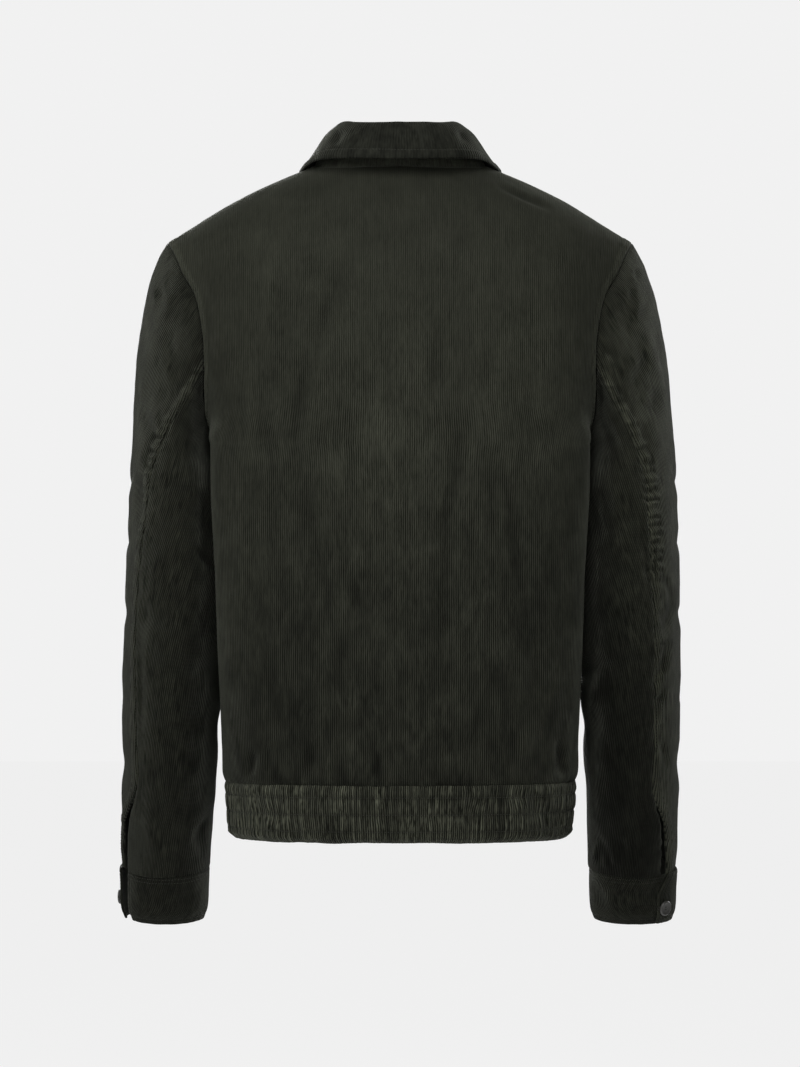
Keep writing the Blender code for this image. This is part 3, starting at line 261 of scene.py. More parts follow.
# On a sleeve, x is across the face that is seen from behind, from the front, or from the outer side (then it is y).
SLEEVE_CREASES = {
    ("left", "back"): [
        Crease(0.246, -0.146, 0.226, -0.130, 0.001, 0.005, 0.0010),
        Crease(0.231, -0.120, 0.236, -0.132, 0.000, 0.004, 0.0014),
        Crease(0.210, -0.222, 0.190, -0.226, 0.001, 0.006, -0.0016),
        Crease(0.250, -0.235, 0.232, -0.270, 0.003, 0.006, 0.0016),
        Crease(0.236, -0.262, 0.246, -0.300, 0.002, 0.006, 0.0018),
        Crease(0.214, -0.246, 0.204, -0.262, 0.000, 0.006, 0.0012),
        Crease(0.228, -0.300, 0.198, -0.318, 0.003, 0.006, 0.0012),
        Crease(0.252, -0.300, 0.250, -0.360, 0.002, 0.006, 0.0016),
        Crease(0.190, -0.305, 0.186, -0.395, 0.001, 0.005, 0.0018),
        Crease(0.196, -0.370, 0.184, -0.392, 0.001, 0.004, 0.0020),
        Crease(0.226, -0.390, 0.206, -0.440, 0.004, 0.010, 0.0012),
        Crease(0.186, -0.410, 0.192, -0.470, 0.002, 0.006, 0.0014),
        Crease(0.255, -0.440, 0.254, -0.560, -0.002, 0.004, 0.0014),
        Crease(0.220, -0.480, 0.208, -0.520, 0.001, 0.010, 0.0010),
        Crease(0.236, -0.545, 0.226, -0.555, 0.001, 0.006, 0.0010),
        Crease(0.190, -0.640, 0.202, -0.668, 0.003, 0.004, 0.0016),
        Crease(0.186, -0.628, 0.196, -0.680, 0.004, 0.004, 0.0014),
        Crease(0.224, -0.668, 0.212, -0.684, 0.000, 0.004, 0.0009),
    ],
    ("right", "back"): [
        Crease(0.228, -0.100, 0.233, -0.112, 0.000, 0.004, 0.0014),
        Crease(0.222, -0.122, 0.226, -0.134, 0.000, 0.004, 0.0012),
        Crease(0.240, -0.138, 0.232, -0.150, 0.000, 0.005, 0.0010),
        Crease(0.190, -0.178, 0.210, -0.190, 0.001, 0.004, 0.0016),
        Crease(0.192, -0.190, 0.206, -0.196, 0.001, 0.004, -0.0010),
        Crease(0.242, -0.180, 0.222, -0.215, 0.002, 0.006, 0.0012),
        Crease(0.190, -0.240, 0.216, -0.292, 0.002, 0.006, 0.0016),
        Crease(0.200, -0.232, 0.224, -0.278, 0.002, 0.005, 0.0011),
        Crease(0.236, -0.250, 0.240, -0.282, 0.000, 0.008, 0.0016),
        Crease(0.252, -0.205, 0.246, -0.245, 0.001, 0.007, 0.0012),
        Crease(0.186, -0.320, 0.196, -0.368, 0.001, 0.005, 0.0014),
        Crease(0.196, -0.310, 0.206, -0.375, 0.001, 0.006, 0.0012),
        Crease(0.206, -0.380, 0.216, -0.400, 0.001, 0.006, 0.0010),
        Crease(0.236, -0.398, 0.248, -0.388, 0.000, 0.004, 0.0020),
        Crease(0.262, -0.462, 0.246, -0.508, 0.001, 0.004, 0.0020),
        Crease(0.250, -0.524, 0.256, -0.508, 0.000, 0.004, 0.0014),
        Crease(0.210, -0.430, 0.218, -0.500, 0.002, 0.009, 0.0010),
        Crease(0.190, -0.520, 0.186, -0.600, 0.001, 0.008, 0.0012),
        Crease(0.218, -0.590, 0.212, -0.640, 0.002, 0.008, 0.0010),
        Crease(0.194, -0.655, 0.200, -0.684, 0.001, 0.004, 0.0016),
        Crease(0.206, -0.660, 0.203, -0.684, 0.000, 0.003, 0.0014),
        Crease(0.216, -0.656, 0.222, -0.684, 0.001, 0.004, 0.0015),
        Crease(0.232, -0.662, 0.228, -0.684, 0.000, 0.004, 0.0012),
        Crease(0.191, -0.688, 0.195, -0.660, 0.000, 0.0024, -0.0013),
        Crease(0.196, -0.660, 0.201, -0.684, 0.000, 0.0024, -0.0012),
        Crease(0.202, -0.688, 0.206, -0.658, 0.000, 0.0024, -0.0015),
        Crease(0.207, -0.660, 0.212, -0.686, 0.000, 0.0024, -0.0011),
        Crease(0.224, -0.656, 0.220, -0.682, 0.000, 0.0026, -0.0008),
        Crease(0.256, -0.400, 0.264, -0.430, 0.002, 0.004, 0.0014),
        Crease(0.266, -0.425, 0.258, -0.455, 0.001, 0.004, 0.0015),
        Crease(0.252, -0.560, 0.262, -0.590, 0.002, 0.004, 0.0013),
    ],
    ("both", "front"): [
        Crease(0.190, -0.180, 0.214, -0.205, 0.003, 0.007, 0.0014),
        Crease(0.246, -0.215, 0.222, -0.245, 0.003, 0.008, 0.0013),
        Crease(0.188, -0.285, 0.222, -0.310, 0.004, 0.007, 0.0020),
        Crease(0.250, -0.330, 0.206, -0.352, 0.004, 0.007, 0.0022),
        Crease(0.190, -0.350, 0.230, -0.378, 0.003, 0.006, 0.0020),
        Crease(0.256, -0.392, 0.214, -0.404, 0.003, 0.007, 0.0020),
        Crease(0.196, -0.420, 0.232, -0.442, 0.004, 0.007, 0.0016),
        Crease(0.250, -0.470, 0.220, -0.500, 0.003, 0.008, 0.0014),
        Crease(0.200, -0.530, 0.222, -0.570, 0.003, 0.008, 0.0014),
        Crease(0.240, -0.600, 0.224, -0.640, 0.002, 0.007, 0.0014),
        Crease(0.206, -0.650, 0.210, -0.684, 0.001, 0.005, 0.0014),
        Crease(0.236, -0.656, 0.232, -0.684, 0.001, 0.005, 0.0014),
    ],
    ("both", "outer"): [
        Crease(0.030, -0.140, 0.018, -0.200, 0.003, 0.010, 0.0012),
        Crease(-0.030, -0.160, -0.038, -0.235, 0.003, 0.009, 0.0013),
        Crease(0.020, -0.290, -0.030, -0.318, 0.004, 0.008, 0.0016),
        Crease(-0.040, -0.350, 0.010, -0.378, 0.004, 0.008, 0.0018),
        Crease(0.000, -0.430, -0.050, -0.448, 0.004, 0.008, 0.0016),
        Crease(-0.060, -0.490, -0.020, -0.525, 0.004, 0.009, 0.0014),
        Crease(-0.030, -0.560, -0.060, -0.610, 0.003, 0.009, 0.0014),
        Crease(-0.070, -0.640, -0.064, -0.684, 0.001, 0.006, 0.0014),
        Crease(-0.040, -0.650, -0.044, -0.684, 0.001, 0.006, 0.0012),
    ],
}
CREASE_STEPS = 40
CREASE_DEEPEN = 2.4
CREASE_SHOULDER, CREASE_SHOULDER_WIDTH = 0.38, 2.1  # the soft ridge on each side of a crease

# Extra slant of a sleeve's ribs, in degrees, by height. They lean outwards on the way down.
Slant = namedtuple("Slant", "z degrees")
SLEEVE_SLANT = [Slant(-0.07, 24), Slant(-0.25, 20), Slant(-0.35, 15), Slant(-0.45, 8), Slant(-0.55, 3), Slant(-0.70, 0)]

# How strongly the seam down the back of the arm puckers, by height.
Pucker = namedtuple("Pucker", "z left right")
ARM_PUCKER = [
    Pucker(-0.15, 0.5, 0.3), Pucker(-0.19, 1.0, 0.5), Pucker(-0.25, 0.9, 0.9), Pucker(-0.30, 1.0, 0.9),
    Pucker(-0.36, 0.8, 1.5), Pucker(-0.40, 0.5, 1.4), Pucker(-0.44, 0.3, 0.4), Pucker(-0.55, 0.25, 0.25),
    Pucker(-0.60, 0.6, 0.6), Pucker(-0.69, 0.8, 0.9),
]
PUCKER_HEIGHT, PUCKER_STEP = 0.0008, 0.0052

# Short ridges across that seam where its stitches draw the cloth up. reach is from the seam into the top sleeve.
Rung = namedtuple("Rung", "z reach rise slant")
RUNGS = {
    "left": [
        Rung(-0.1500, 0.006, 0.0008, 0.30), Rung(-0.1640, 0.008, 0.0010, 0.10), Rung(-0.1795, 0.010, 0.0015, 0.25),
        Rung(-0.1872, 0.012, 0.0018, 0.05), Rung(-0.1950, 0.009, 0.0013, 0.30), Rung(-0.2012, 0.013, 0.0018, 0.15),
        Rung(-0.2095, 0.009, 0.0012, -0.10), Rung(-0.2225, 0.011, 0.0010, 0.20), Rung(-0.2352, 0.008, 0.0009, 0.35),
        Rung(-0.2480, 0.012, 0.0017, 0.10), Rung(-0.2554, 0.010, 0.0014, 0.40), Rung(-0.2628, 0.014, 0.0019, 0.20),
        Rung(-0.2693, 0.009, 0.0013, 0.00), Rung(-0.2774, 0.013, 0.0018, 0.30), Rung(-0.2850, 0.011, 0.0015, 0.10),
        Rung(-0.2922, 0.012, 0.0017, 0.35), Rung(-0.3005, 0.009, 0.0011, 0.15), Rung(-0.3130, 0.010, 0.0012, 0.30),
        Rung(-0.3275, 0.008, 0.0009, 0.10), Rung(-0.3480, 0.009, 0.0010, 0.25), Rung(-0.3560, 0.010, 0.0013, 0.10),
        Rung(-0.3665, 0.008, 0.0012, 0.20), Rung(-0.3900, 0.007, 0.0007, 0.15), Rung(-0.4280, 0.007, 0.0006, 0.20),
    ],
    "right": [
        Rung(-0.1620, 0.006, 0.0006, 0.20), Rung(-0.1880, 0.007, 0.0008, 0.10), Rung(-0.2060, 0.009, 0.0011, 0.30),
        Rung(-0.2150, 0.010, 0.0013, 0.10), Rung(-0.2290, 0.012, 0.0015, 0.25), Rung(-0.2375, 0.009, 0.0012, 0.05),
        Rung(-0.2520, 0.012, 0.0015, 0.30), Rung(-0.2610, 0.010, 0.0012, 0.15), Rung(-0.2740, 0.013, 0.0016, 0.30),
        Rung(-0.2850, 0.010, 0.0012, 0.10), Rung(-0.2960, 0.013, 0.0017, 0.20), Rung(-0.3055, 0.015, 0.0020, 0.10),
        Rung(-0.3140, 0.013, 0.0018, 0.35), Rung(-0.3225, 0.016, 0.0023, 0.10), Rung(-0.3300, 0.012, 0.0017, 0.25),
        Rung(-0.3392, 0.016, 0.0024, 0.05), Rung(-0.3475, 0.013, 0.0019, 0.30), Rung(-0.3560, 0.017, 0.0024, 0.10),
        Rung(-0.3635, 0.012, 0.0017, 0.20), Rung(-0.3722, 0.016, 0.0022, 0.05), Rung(-0.3815, 0.012, 0.0018, 0.30),
        Rung(-0.3902, 0.014, 0.0019, 0.10), Rung(-0.4010, 0.010, 0.0012, 0.20), Rung(-0.4180, 0.009, 0.0009, 0.10),
        Rung(-0.4330, 0.012, 0.0013, 0.30), Rung(-0.4470, 0.009, 0.0010, 0.25), Rung(-0.4620, 0.013, 0.0013, 0.10),
        Rung(-0.4800, 0.008, 0.0008, 0.10), Rung(-0.4985, 0.012, 0.0011, 0.35), Rung(-0.5150, 0.008, 0.0009, 0.20),
        Rung(-0.5420, 0.010, 0.0010, 0.15), Rung(-0.5660, 0.008, 0.0008, 0.30),
    ],
}
RUNG_WIDTH, RUNG_FADE, RUNG_PIT = 0.0021, 0.0050, 0.55
UNDER_RUNG = 0.35  # how much of a rung's reach and rise is on the under sleeve's side

# How bright the nap lies on each piece at its top and at its foot, how much it is brushed this way and that there, and
# how crisply its ribs stand. The brightness is partly the nap's own tone as each piece is cut and partly painted light
# and shade: the back painted lighter high up and darker at its foot, the under sleeves painted darker, most low on the
# right one, and the collar stand, which lies in shade under the leaf, painted brighter.
PileAndPaintedLight = namedtuple("PileAndPaintedLight", "top foot top_mottle foot_mottle top_crisp foot_crisp")
PILE_AND_PAINTED_LIGHT = {
    "back": PileAndPaintedLight(1.12, 0.76, 0.03, 0.54, 0.22, 1.05),
    "front_left": PileAndPaintedLight(1.10, 0.84, 0.04, 0.42, 0.36, 1.05),
    "front_right": PileAndPaintedLight(1.10, 0.84, 0.04, 0.42, 0.36, 1.05),
    "top_sleeve_left": PileAndPaintedLight(0.70, 0.66, 0.24, 0.40, 1.40, 1.50),
    "top_sleeve_right": PileAndPaintedLight(1.00, 0.98, 0.34, 0.46, 1.30, 1.60),
    "under_sleeve_left": PileAndPaintedLight(0.72, 0.55, 0.28, 0.30, 1.80, 1.20),
    "under_sleeve_right": PileAndPaintedLight(0.90, 0.18, 0.36, 0.30, 1.90, 0.90),
    "cuff_left": PileAndPaintedLight(0.37, 0.43, 0.30, 0.30, 0.90, 1.00),
    "cuff_right": PileAndPaintedLight(0.53, 0.56, 0.40, 0.40, 1.50, 1.60),
    "waistband_back": PileAndPaintedLight(1.42, 1.66, 0.30, 0.30, 1.90, 1.90),
    "waistband_front_left": PileAndPaintedLight(0.90, 1.10, 0.24, 0.24, 1.30, 1.30),
    "waistband_front_right": PileAndPaintedLight(0.90, 1.10, 0.24, 0.24, 1.30, 1.30),
    "collar_stand": PileAndPaintedLight(2.30, 2.30, 0.20, 0.20, 0.60, 0.60),
    "collar_fall": PileAndPaintedLight(0.50, 0.49, 0.38, 0.38, 0.90, 0.90),
}
# Painted light and shade on the back: a pool of light on its middle, shade under the collar, and lighter and darker
# patches elsewhere.
PaintedLightPatch = namedtuple("PaintedLightPatch", "x z half_width half_height change")
BACK_PAINTED_LIGHT = [
    PaintedLightPatch(0.004, -0.275, 0.062, 0.095, 0.46),
    PaintedLightPatch(0.000, -0.010, 0.200, 0.070, -0.22),
    PaintedLightPatch(-0.120, -0.210, 0.045, 0.090, 0.40),
    PaintedLightPatch(0.172, -0.250, 0.026, 0.120, -0.12),
    PaintedLightPatch(0.140, -0.540, 0.045, 0.070, -0.32),
    PaintedLightPatch(-0.128, -0.420, 0.028, 0.080, -0.16),
]
MOTTLE_FALL = 1.6  # the brushed spots fade out upwards by this power of the height
MOTTLE_SIZES = ((0.011, 0.011, 0.026), (0.0052, 0.0052, 0.0110))  # of the larger and the smaller brushed spots
ARMHOLE_PAINTED_SHADE, ARMHOLE_SHADE_REACH = 0.36, 0.026  # painted shade on the sleeve beside the armhole
INNER_PAINTED_SHADE = 0.75  # painted shade on the sleeve's side towards the body
WELT_PAINTED_HIGHLIGHT = 0.42  # painted highlight along a welt

# Flat size that each piece was cut to: width across the ribs, length along them, and area.
Cut = namedtuple("Cut", "width length area")


# ---------------------------------------------------------------- small tools
def smooth_read(table, key, at, column):
    """The column's values between rows, on a smooth curve through them. Without a key, at is a row number."""
    keys = np.array([getattr(row, key) for row in table] if key else range(len(table)), float)
    values = np.array([getattr(row, column) for row in table], float)
    if keys[0] > keys[-1]:
        keys, values = keys[::-1], values[::-1]
    at = np.clip(at, keys[0], keys[-1])
    last = len(keys) - 1
    i = np.clip(np.searchsorted(keys, at, side="right") - 1, 0, last - 1)
    low, high = np.maximum(np.arange(last + 1) - 1, 0), np.minimum(np.arange(last + 1) + 1, last)
    slopes = (values[high] - values[low]) / (keys[high] - keys[low])
    width = keys[i + 1] - keys[i]
    t = (at - keys[i]) / width
    return (
        (2 * t**3 - 3 * t**2 + 1) * values[i]
        + (t**3 - 2 * t**2 + t) * width * slopes[i]
        + (3 * t**2 - 2 * t**3) * values[i + 1]
        + (t**3 - t**2) * width * slopes[i + 1]
    )


def mix(a, b, share):
    return a + (b - a) * share


def soft_step(value):
    value = np.clip(value, 0.0, 1.0)
    return value * value * (3 - 2 * value)


def hump(distance, width):
    return np.exp(-((distance / width) ** 2))


def hermite(start, leave, end, arrive, share):
    h = np.asarray(share, float)[..., None]
    return (
        start * (2 * h**3 - 3 * h**2 + 1)
        + leave * (h**3 - 2 * h**2 + h)
        + end * (3 * h**2 - 2 * h**3)
        + arrive * (h**3 - h**2)
    )


def cosine(degrees):
    return np.cos(np.radians(degrees))


def sine(degrees):
    return np.sin(np.radians(degrees))


def power(base, exponent):
    return np.copysign(np.abs(base) ** exponent, base)


def points(x, y, z):
    return np.stack(np.broadcast_arrays(x, y, z), axis=-1).astype(float)


def unit(vectors):
    return vectors / np.maximum(np.linalg.norm(vectors, axis=-1, keepdims=True), 1e-12)


def bisect(is_low, low, high, shape):
    low, high = np.full(shape, float(low)), np.full(shape, float(high))
    for _ in range(BISECTIONS):
        middle = (low + high) / 2
        below = is_low(middle)
        low, high = np.where(below, middle, low), np.where(below, high, middle)
    return (low + high) / 2


LATTICE = np.random.default_rng(7).uniform(-1, 1, (48, 48, 48))


def soft_noise(places, size, seed=0):
    """Smooth random values from -1 to 1 at places (x, y, z); size is the size of one bump, or one for each axis."""
    at = np.asarray(places, float) / np.asarray(size, float) + seed * 7.31
    whole = np.floor(at).astype(int)
    part = at - whole
    part = part * part * (3 - 2 * part)
    total = np.zeros(at.shape[:-1])
    for corner in itertools.product((0, 1), repeat=3):
        weight = np.prod([part[..., k] if up else 1 - part[..., k] for k, up in enumerate(corner)], axis=0)
        index = (whole + corner) % len(LATTICE)
        total += weight * LATTICE[index[..., 0], index[..., 1], index[..., 2]]
    return total


def line_noise(distance, size, seed=0):
    distance = np.asarray(distance, float)
    return soft_noise(points(distance, size * seed * 1.7, size * seed * 3.1), size, seed)


def graded(length, coarse, fine=0.0008, reach=0.010, grow=0.25):
    """Shares from 0 to 1 along a length, with fine steps for a reach at both ends that grow to coarse ones."""
    at = np.linspace(0, length, 2001)
    from_end = np.minimum(at, length - at)
    step = np.minimum(coarse, fine + np.maximum(0, from_end - reach) * grow)
    count = np.concatenate([[0], np.cumsum(np.diff(at) / ((step[1:] + step[:-1]) / 2))])
    return np.interp(np.linspace(0, count[-1], int(math.ceil(count[-1])) + 1), count, at) / length


def travelled(line):
    """Distance along axis 0 of an array of points, from its first."""
    steps = np.linalg.norm(np.diff(line, axis=0), axis=-1)
    return np.concatenate([np.zeros((1,) + steps.shape[1:]), np.cumsum(steps, axis=0)])


# ---------------------------------------------------------------- the garment's surface, as in the solids
def armhole_point(angle):
    angle = np.asarray(angle, float)
    inside = (angle >= -90) & (angle <= 270)
    wrapped = np.where(inside, angle, angle - np.copysign(360, angle))
    x = smooth_read(ARMHOLE, "angle", wrapped, "x")
    return points(x, ARMHOLE_MID_Y + ARMHOLE_HALF_Y * cosine(angle), ARMHOLE_MID_Z + ARMHOLE_HALF_Z * sine(angle))


def shoulder_point(x):
    inwards = 1 - x / NECK_HALF
    slope = (NECK_POINT_Z - SHOULDER_DROP) / (SHOULDER_HALF - NECK_HALF) * NECK_HALF
    crown = NECK_POINT_Z + slope * inwards + (CROWN_Z - NECK_POINT_Z - slope) * inwards * inwards
    share = (x - NECK_HALF) / (SHOULDER_HALF - NECK_HALF)
    seam = mix(NECK_POINT_Z, SHOULDER_DROP, share) + SHOULDER_ARCH * np.sin(np.pi * share)
    inner = x < NECK_HALF
    return points(x, np.where(inner, 0.0, ARMHOLE_MID_Y * share), np.where(inner, crown, seam))


def body_shape(face, level):
    front = face == "front"
    row = np.clip(level, 0, 1) * (len(BODY) - 1)
    z, half, side = (smooth_read(BODY, None, row, c) for c in ("z", "half_width", "side_x"))
    depth = smooth_read(BODY, None, row, "front_y" if front else "back_y")
    turn = -90 + 180 * (level - 1)
    lines = FRONT_CENTRE if front else BACK_CENTRE
    centre_y, centre_z = (smooth_read(lines, "level", level, c) for c in "yz")
    top = BODY[-1]
    upper_hollow = (top.half_width - top.side_x) / top.half_width * np.clip(1 - (level - 1) / HOLLOW_REACH, 0, 1)
    low = np.asarray(level <= 1)
    edge = np.where(low[..., None], points(side, 0, z), armhole_point(180 - turn if front else turn))
    centre = np.where(low[..., None], points(0, depth, z), points(0, centre_y, centre_z))
    end_angle = np.where(low, 90.0, 90 - END_ANGLE_DIP * cosine(turn))
    return edge, centre, end_angle, np.where(low, (half - side) / half, upper_hollow)


def spread(face, angle, hollow):
    width = HOLLOW_FRONT if face == "front" else HOLLOW_BACK
    return power(sine(angle), SQUARENESS) - hollow * hump(90 - angle, width)


def plain_body_point(face, level, column):
    level, column = np.broadcast_arrays(np.asarray(level, float), np.asarray(column, float))
    edge, centre, end_angle, hollow = body_shape(face, level)
    angle = column * end_angle
    x = edge[..., 0] * spread(face, angle, hollow) / spread(face, end_angle, hollow)
    rise = power(np.maximum(cosine(angle), 0), SQUARENESS)
    low = power(np.maximum(cosine(end_angle), 0), SQUARENESS)
    y = mix(edge[..., 1], centre[..., 1], (rise - low) / (1 - low))
    return points(np.where(column > 0, x, 0.0), y, mix(centre[..., 2], edge[..., 2], column * column))


def roll_tangents(face, column):
    step = 0.01
    start = plain_body_point(face, ROLL_FROM, column)
    leave = start - plain_body_point(face, ROLL_FROM - step, column)
    end = shoulder_point(SHOULDER_HALF * power(sine(90 * column), SQUARENESS))
    strength = mix(FULLNESS[face], 1, column) * np.pi / 2 * (end[..., 2] - start[..., 2]) / leave[..., 2]
    roll = np.pi / 2 * (end[..., 1] - start[..., 1])
    rise = CROWN_RISE[face] * (1 - soft_step(end[..., 0] / SHOULDER_HALF))
    arrive = points(ROLL_SPREAD * (end[..., 0] - start[..., 0]), roll, rise * np.abs(roll))
    return start, leave * strength[..., None], end, arrive


def rolled_point(face, share, column):
    share, column = np.broadcast_arrays(np.asarray(share, float), np.asarray(column, float))
    miss = armhole_point(180 - 90 * share if face == "front" else 90 * share)
    miss = miss - hermite(*roll_tangents(face, np.ones_like(column)), share)
    return hermite(*roll_tangents(face, column), share) + miss * (column**ARMHOLE_PULL)[..., None]


def roll_end(face, column):
    depth = NECK_FRONT if face == "front" else NECK_BACK

    def outside(share):
        at = rolled_point(face, share, column)
        return (at[..., 0] / NECK_HALF) ** 2 + (at[..., 1] / depth) ** 2 > 1

    return np.where(column >= NECK_COLUMN - 1e-9, 1.0, bisect(outside, 0, 1, np.shape(column)))


def body_point(face, level, column):
    level, column = np.broadcast_arrays(np.asarray(level, float), np.asarray(column, float))
    plain = plain_body_point(face, np.minimum(level, ROLL_FROM), column)
    share = np.clip((level - ROLL_FROM) / (2 - ROLL_FROM), 0, 1) * roll_end(face, column)
    return np.where((level <= ROLL_FROM)[..., None], plain, rolled_point(face, share, column))


def neckline_point(angle):
    """A point of the neck seam on the wearer's left: 0 is the middle of the back, 180 of the front."""
    angle = np.asarray(angle, float)
    sides = []
    for face, turn in (("back", angle), ("front", 180 - angle)):
        turn = np.minimum(turn, 90)
        column = bisect(lambda c: body_point(face, 2, c)[..., 0] < NECK_HALF * sine(turn), 0, NECK_COLUMN, turn.shape)
        sides.append(body_point(face, 2, np.where(turn >= 90, NECK_COLUMN, column)))
    return np.where((angle <= 90)[..., None], *sides)


def column_at(face, level, x):
    return bisect(lambda c: body_point(face, level, c)[..., 0] < x, 0, 1, np.shape(level))


def fold_depth(folds, z, across):
    total = np.zeros(np.shape(z))
    for fold in folds:
        aside = across - fold.across - fold.lean * (fold.z - z)
        total += fold.depth * hump(z - fold.z, fold.height) * hump(aside, fold.width)
    return total


def sleeve_section_point(side, z, angle):
    cx, cy, hx, hy, tilt, bow = (smooth_read(SLEEVE, "z", z, c) for c in SleeveSection._fields[1:])
    y = hy * cosine(angle)
    return points(cx + hx * sine(angle) + (bow if side == "right" else -bow), cy + y, z - tilt * y)


def sleeve_cap_point(side, share, armhole_angle, arm_angle):
    start = armhole_point(armhole_angle)
    end = sleeve_section_point(side, SLEEVE[0].z, arm_angle)
    below = np.maximum(0.0, -sine(armhole_angle))
    out = mix(CAP_OUT_AT_TOP, CAP_OUT_AT_ARMPIT, below**CAP_FADE)
    leave = unit(points(out, CAP_ROUND * cosine(armhole_angle), -CAP_DOWN))
    length = np.linalg.norm(end - start, axis=-1, keepdims=True)
    return hermite(start, leave * (CAP_LEAVE * length), end, np.array((ARM_OUT, 0, -1)) * length, share)


def seam_angles(side, z):
    middle = smooth_read(ARM_SEAM, "z", z, side + "_angle")
    gape = np.maximum(0.0, smooth_read(ARM_SEAM, "z", z, side + "_gape"))
    return middle + gape / 2, middle - gape / 2


def arm_centre(z):
    share = (z - SLEEVE[0].z) / (SHOULDER_DROP - SLEEVE[0].z)
    high = z > SLEEVE[0].z
    x = np.where(high, mix(SLEEVE[0].centre_x, ARMHOLE_MID_X, share), smooth_read(SLEEVE, "z", z, "centre_x"))
    y = np.where(high, mix(SLEEVE[0].centre_y, ARMHOLE_MID_Y, share), smooth_read(SLEEVE, "z", z, "centre_y"))
    return points(x, y, z)


def band_point(face, share, column):
    top = BODY[0]
    depth = top.front_y if face == "front" else top.back_y
    inset = smooth_read(BAND, "share", share, "inset")
    x = (top.half_width - inset) * power(sine(90 * column), SQUARENESS)
    y = (depth - np.copysign(inset, depth)) * power(np.maximum(cosine(90 * column), 0), SQUARENESS)
    return points(x, y, mix(BAND_TOP, BAND_BOTTOM, share))


def collar_read(angle, kind):
    return points(*(smooth_read(COLLAR, "angle", angle, f"{kind}_{axis}") for axis in "xyz"))


def collar_fall_point(angle, share):
    around = np.abs(angle)
    fold, edge = collar_read(around, "fold"), collar_read(around, "edge")
    last = COLLAR[-1].angle
    before, after = (collar_read(np.minimum(np.abs(around + step), last), "fold") for step in (-1, 1))
    before[..., 0] = np.where(around < 1, -before[..., 0], before[..., 0])
    out = unit((edge - fold) * np.array((1, 1, 0)))
    up = unit(np.cross(after - before, out))
    up = up * np.sign(up[..., 2:])
    start = fold + up * COLLAR_ROLL - out * CLOTH
    first = start + out * COLLAR_TURN_OUT + up * COLLAR_TURN_UP
    second = mix(fold, edge, COLLAR_BOW_AT) + out * COLLAR_BOW
    s = np.asarray(share, float)[..., None]
    r = 1 - s
    return start * r**3 + first * (3 * s * r * r) + second * (3 * s * s * r) + edge * s**3


# ---------------------------------------------------------------- cloth as fine grids
BORDERS = ("top", "bottom", "left", "right")


def from_border(grid, border):
    """The grid turned so that axis 0 runs along that border and axis 1 goes in from it."""
    if border in ("top", "bottom"):
        grid = np.swapaxes(grid if border == "top" else grid[::-1], 0, 1)
    return grid[:, ::-1] if border == "right" else grid


def back_from_border(grid, border):
    """Undoes from_border."""
    if border == "right":
        grid = grid[:, ::-1]
    if border in ("top", "bottom"):
        grid = np.swapaxes(grid, 0, 1)
        grid = grid if border == "top" else grid[::-1]
    return grid


class Cloth:
    """A grid of points on a piece's outer face. relief is added along the normals, ribs holds the place of each
    point in the flat cloth, across the ribs and along them, nap is how bright the pile lies there with the painted
    light and shade laid on it, and crisp is how much its ribs stand out."""

    def __init__(self, node, grid, outward, thickness, ribs=None):
        self.node, self.base, self.thickness, self.ribs = node, grid, thickness, ribs
        along, across = np.gradient(grid, axis=0), np.gradient(grid, axis=1)
        normals = unit(np.cross(along, across))
        self.turned = np.sum(normals * outward(grid)) < 0
        self.normals = -normals if self.turned else normals
        self.relief = np.zeros(grid.shape[:2])
        self.shift = np.zeros_like(grid)
        self.nap, self.crisp = np.ones(grid.shape[:2]), np.ones(grid.shape[:2])
        self.bulge = {border: SEAM_BULGE for border in BORDERS}
        self.distance, self.run = {}, {}
        for border in BORDERS:
            turned = from_border(grid, border)
            inwards = travelled(np.swapaxes(turned, 0, 1)).T
            run = np.broadcast_to(travelled(turned[:, 0])[:, None], inwards.shape)
            self.distance[border] = back_from_border(inwards, border)
            self.run[border] = back_from_border(run, border)

    def outer(self):
        return self.base + self.shift + self.normals * self.relief[..., None]

    def line(self, border, distance):
        """Points and normals of the outer face at a distance from a border."""
        face, normals = from_border(self.outer(), border), from_border(self.normals, border)
        inwards = from_border(self.distance[border], border)
        found = []
        for along in range(len(face)):
            found.append([np.interp(distance, inwards[along], source[along, :, k])
                          for source in (face, normals) for k in range(3)])
        found = np.array(found)
        return found[:, :3], unit(found[:, 3:])


def nearest_seam(cloth, borders):
    return np.min([cloth.distance[border] for border in borders], axis=0)


def tuck(cloth, borders, depth=SEAM_TUCK):
    """Rolls the cloth down into its seams."""
    for border in borders:
        cloth.relief -= depth * hump(cloth.distance[border], SEAM_TUCK_WIDTH)


def stitch_groove(cloth, border, distance, share=1.0):
    cloth.relief -= STITCH_PINCH * share * hump(cloth.distance[border] - distance, STITCH_PINCH_WIDTH)


def welt(cloth, border, width=WELT_WIDTH, height=WELT_HEIGHT, share=1.0):
    """The seam allowances under the cloth lift it along its seam, and a painted highlight brightens the lift."""
    away = cloth.distance[border]
    lifted = share * soft_step(away / 0.002) * (1 - soft_step((away - width) / 0.0028))
    cloth.relief += height * lifted
    cloth.nap += WELT_PAINTED_HIGHLIGHT * lifted


def pucker(cloth, border, height, step, centre, width, share=1.0, seed=0):
    """Small uneven ribs across a seam."""
    along = cloth.run[border]
    wave = line_noise(along + 0.25 * (cloth.distance[border] - centre), step / 1.6, seed)
    wave = wave + 0.5 * line_noise(along, step / 0.8, seed + 3)
    cloth.relief += height * share * wave * hump(cloth.distance[border] - centre, width)


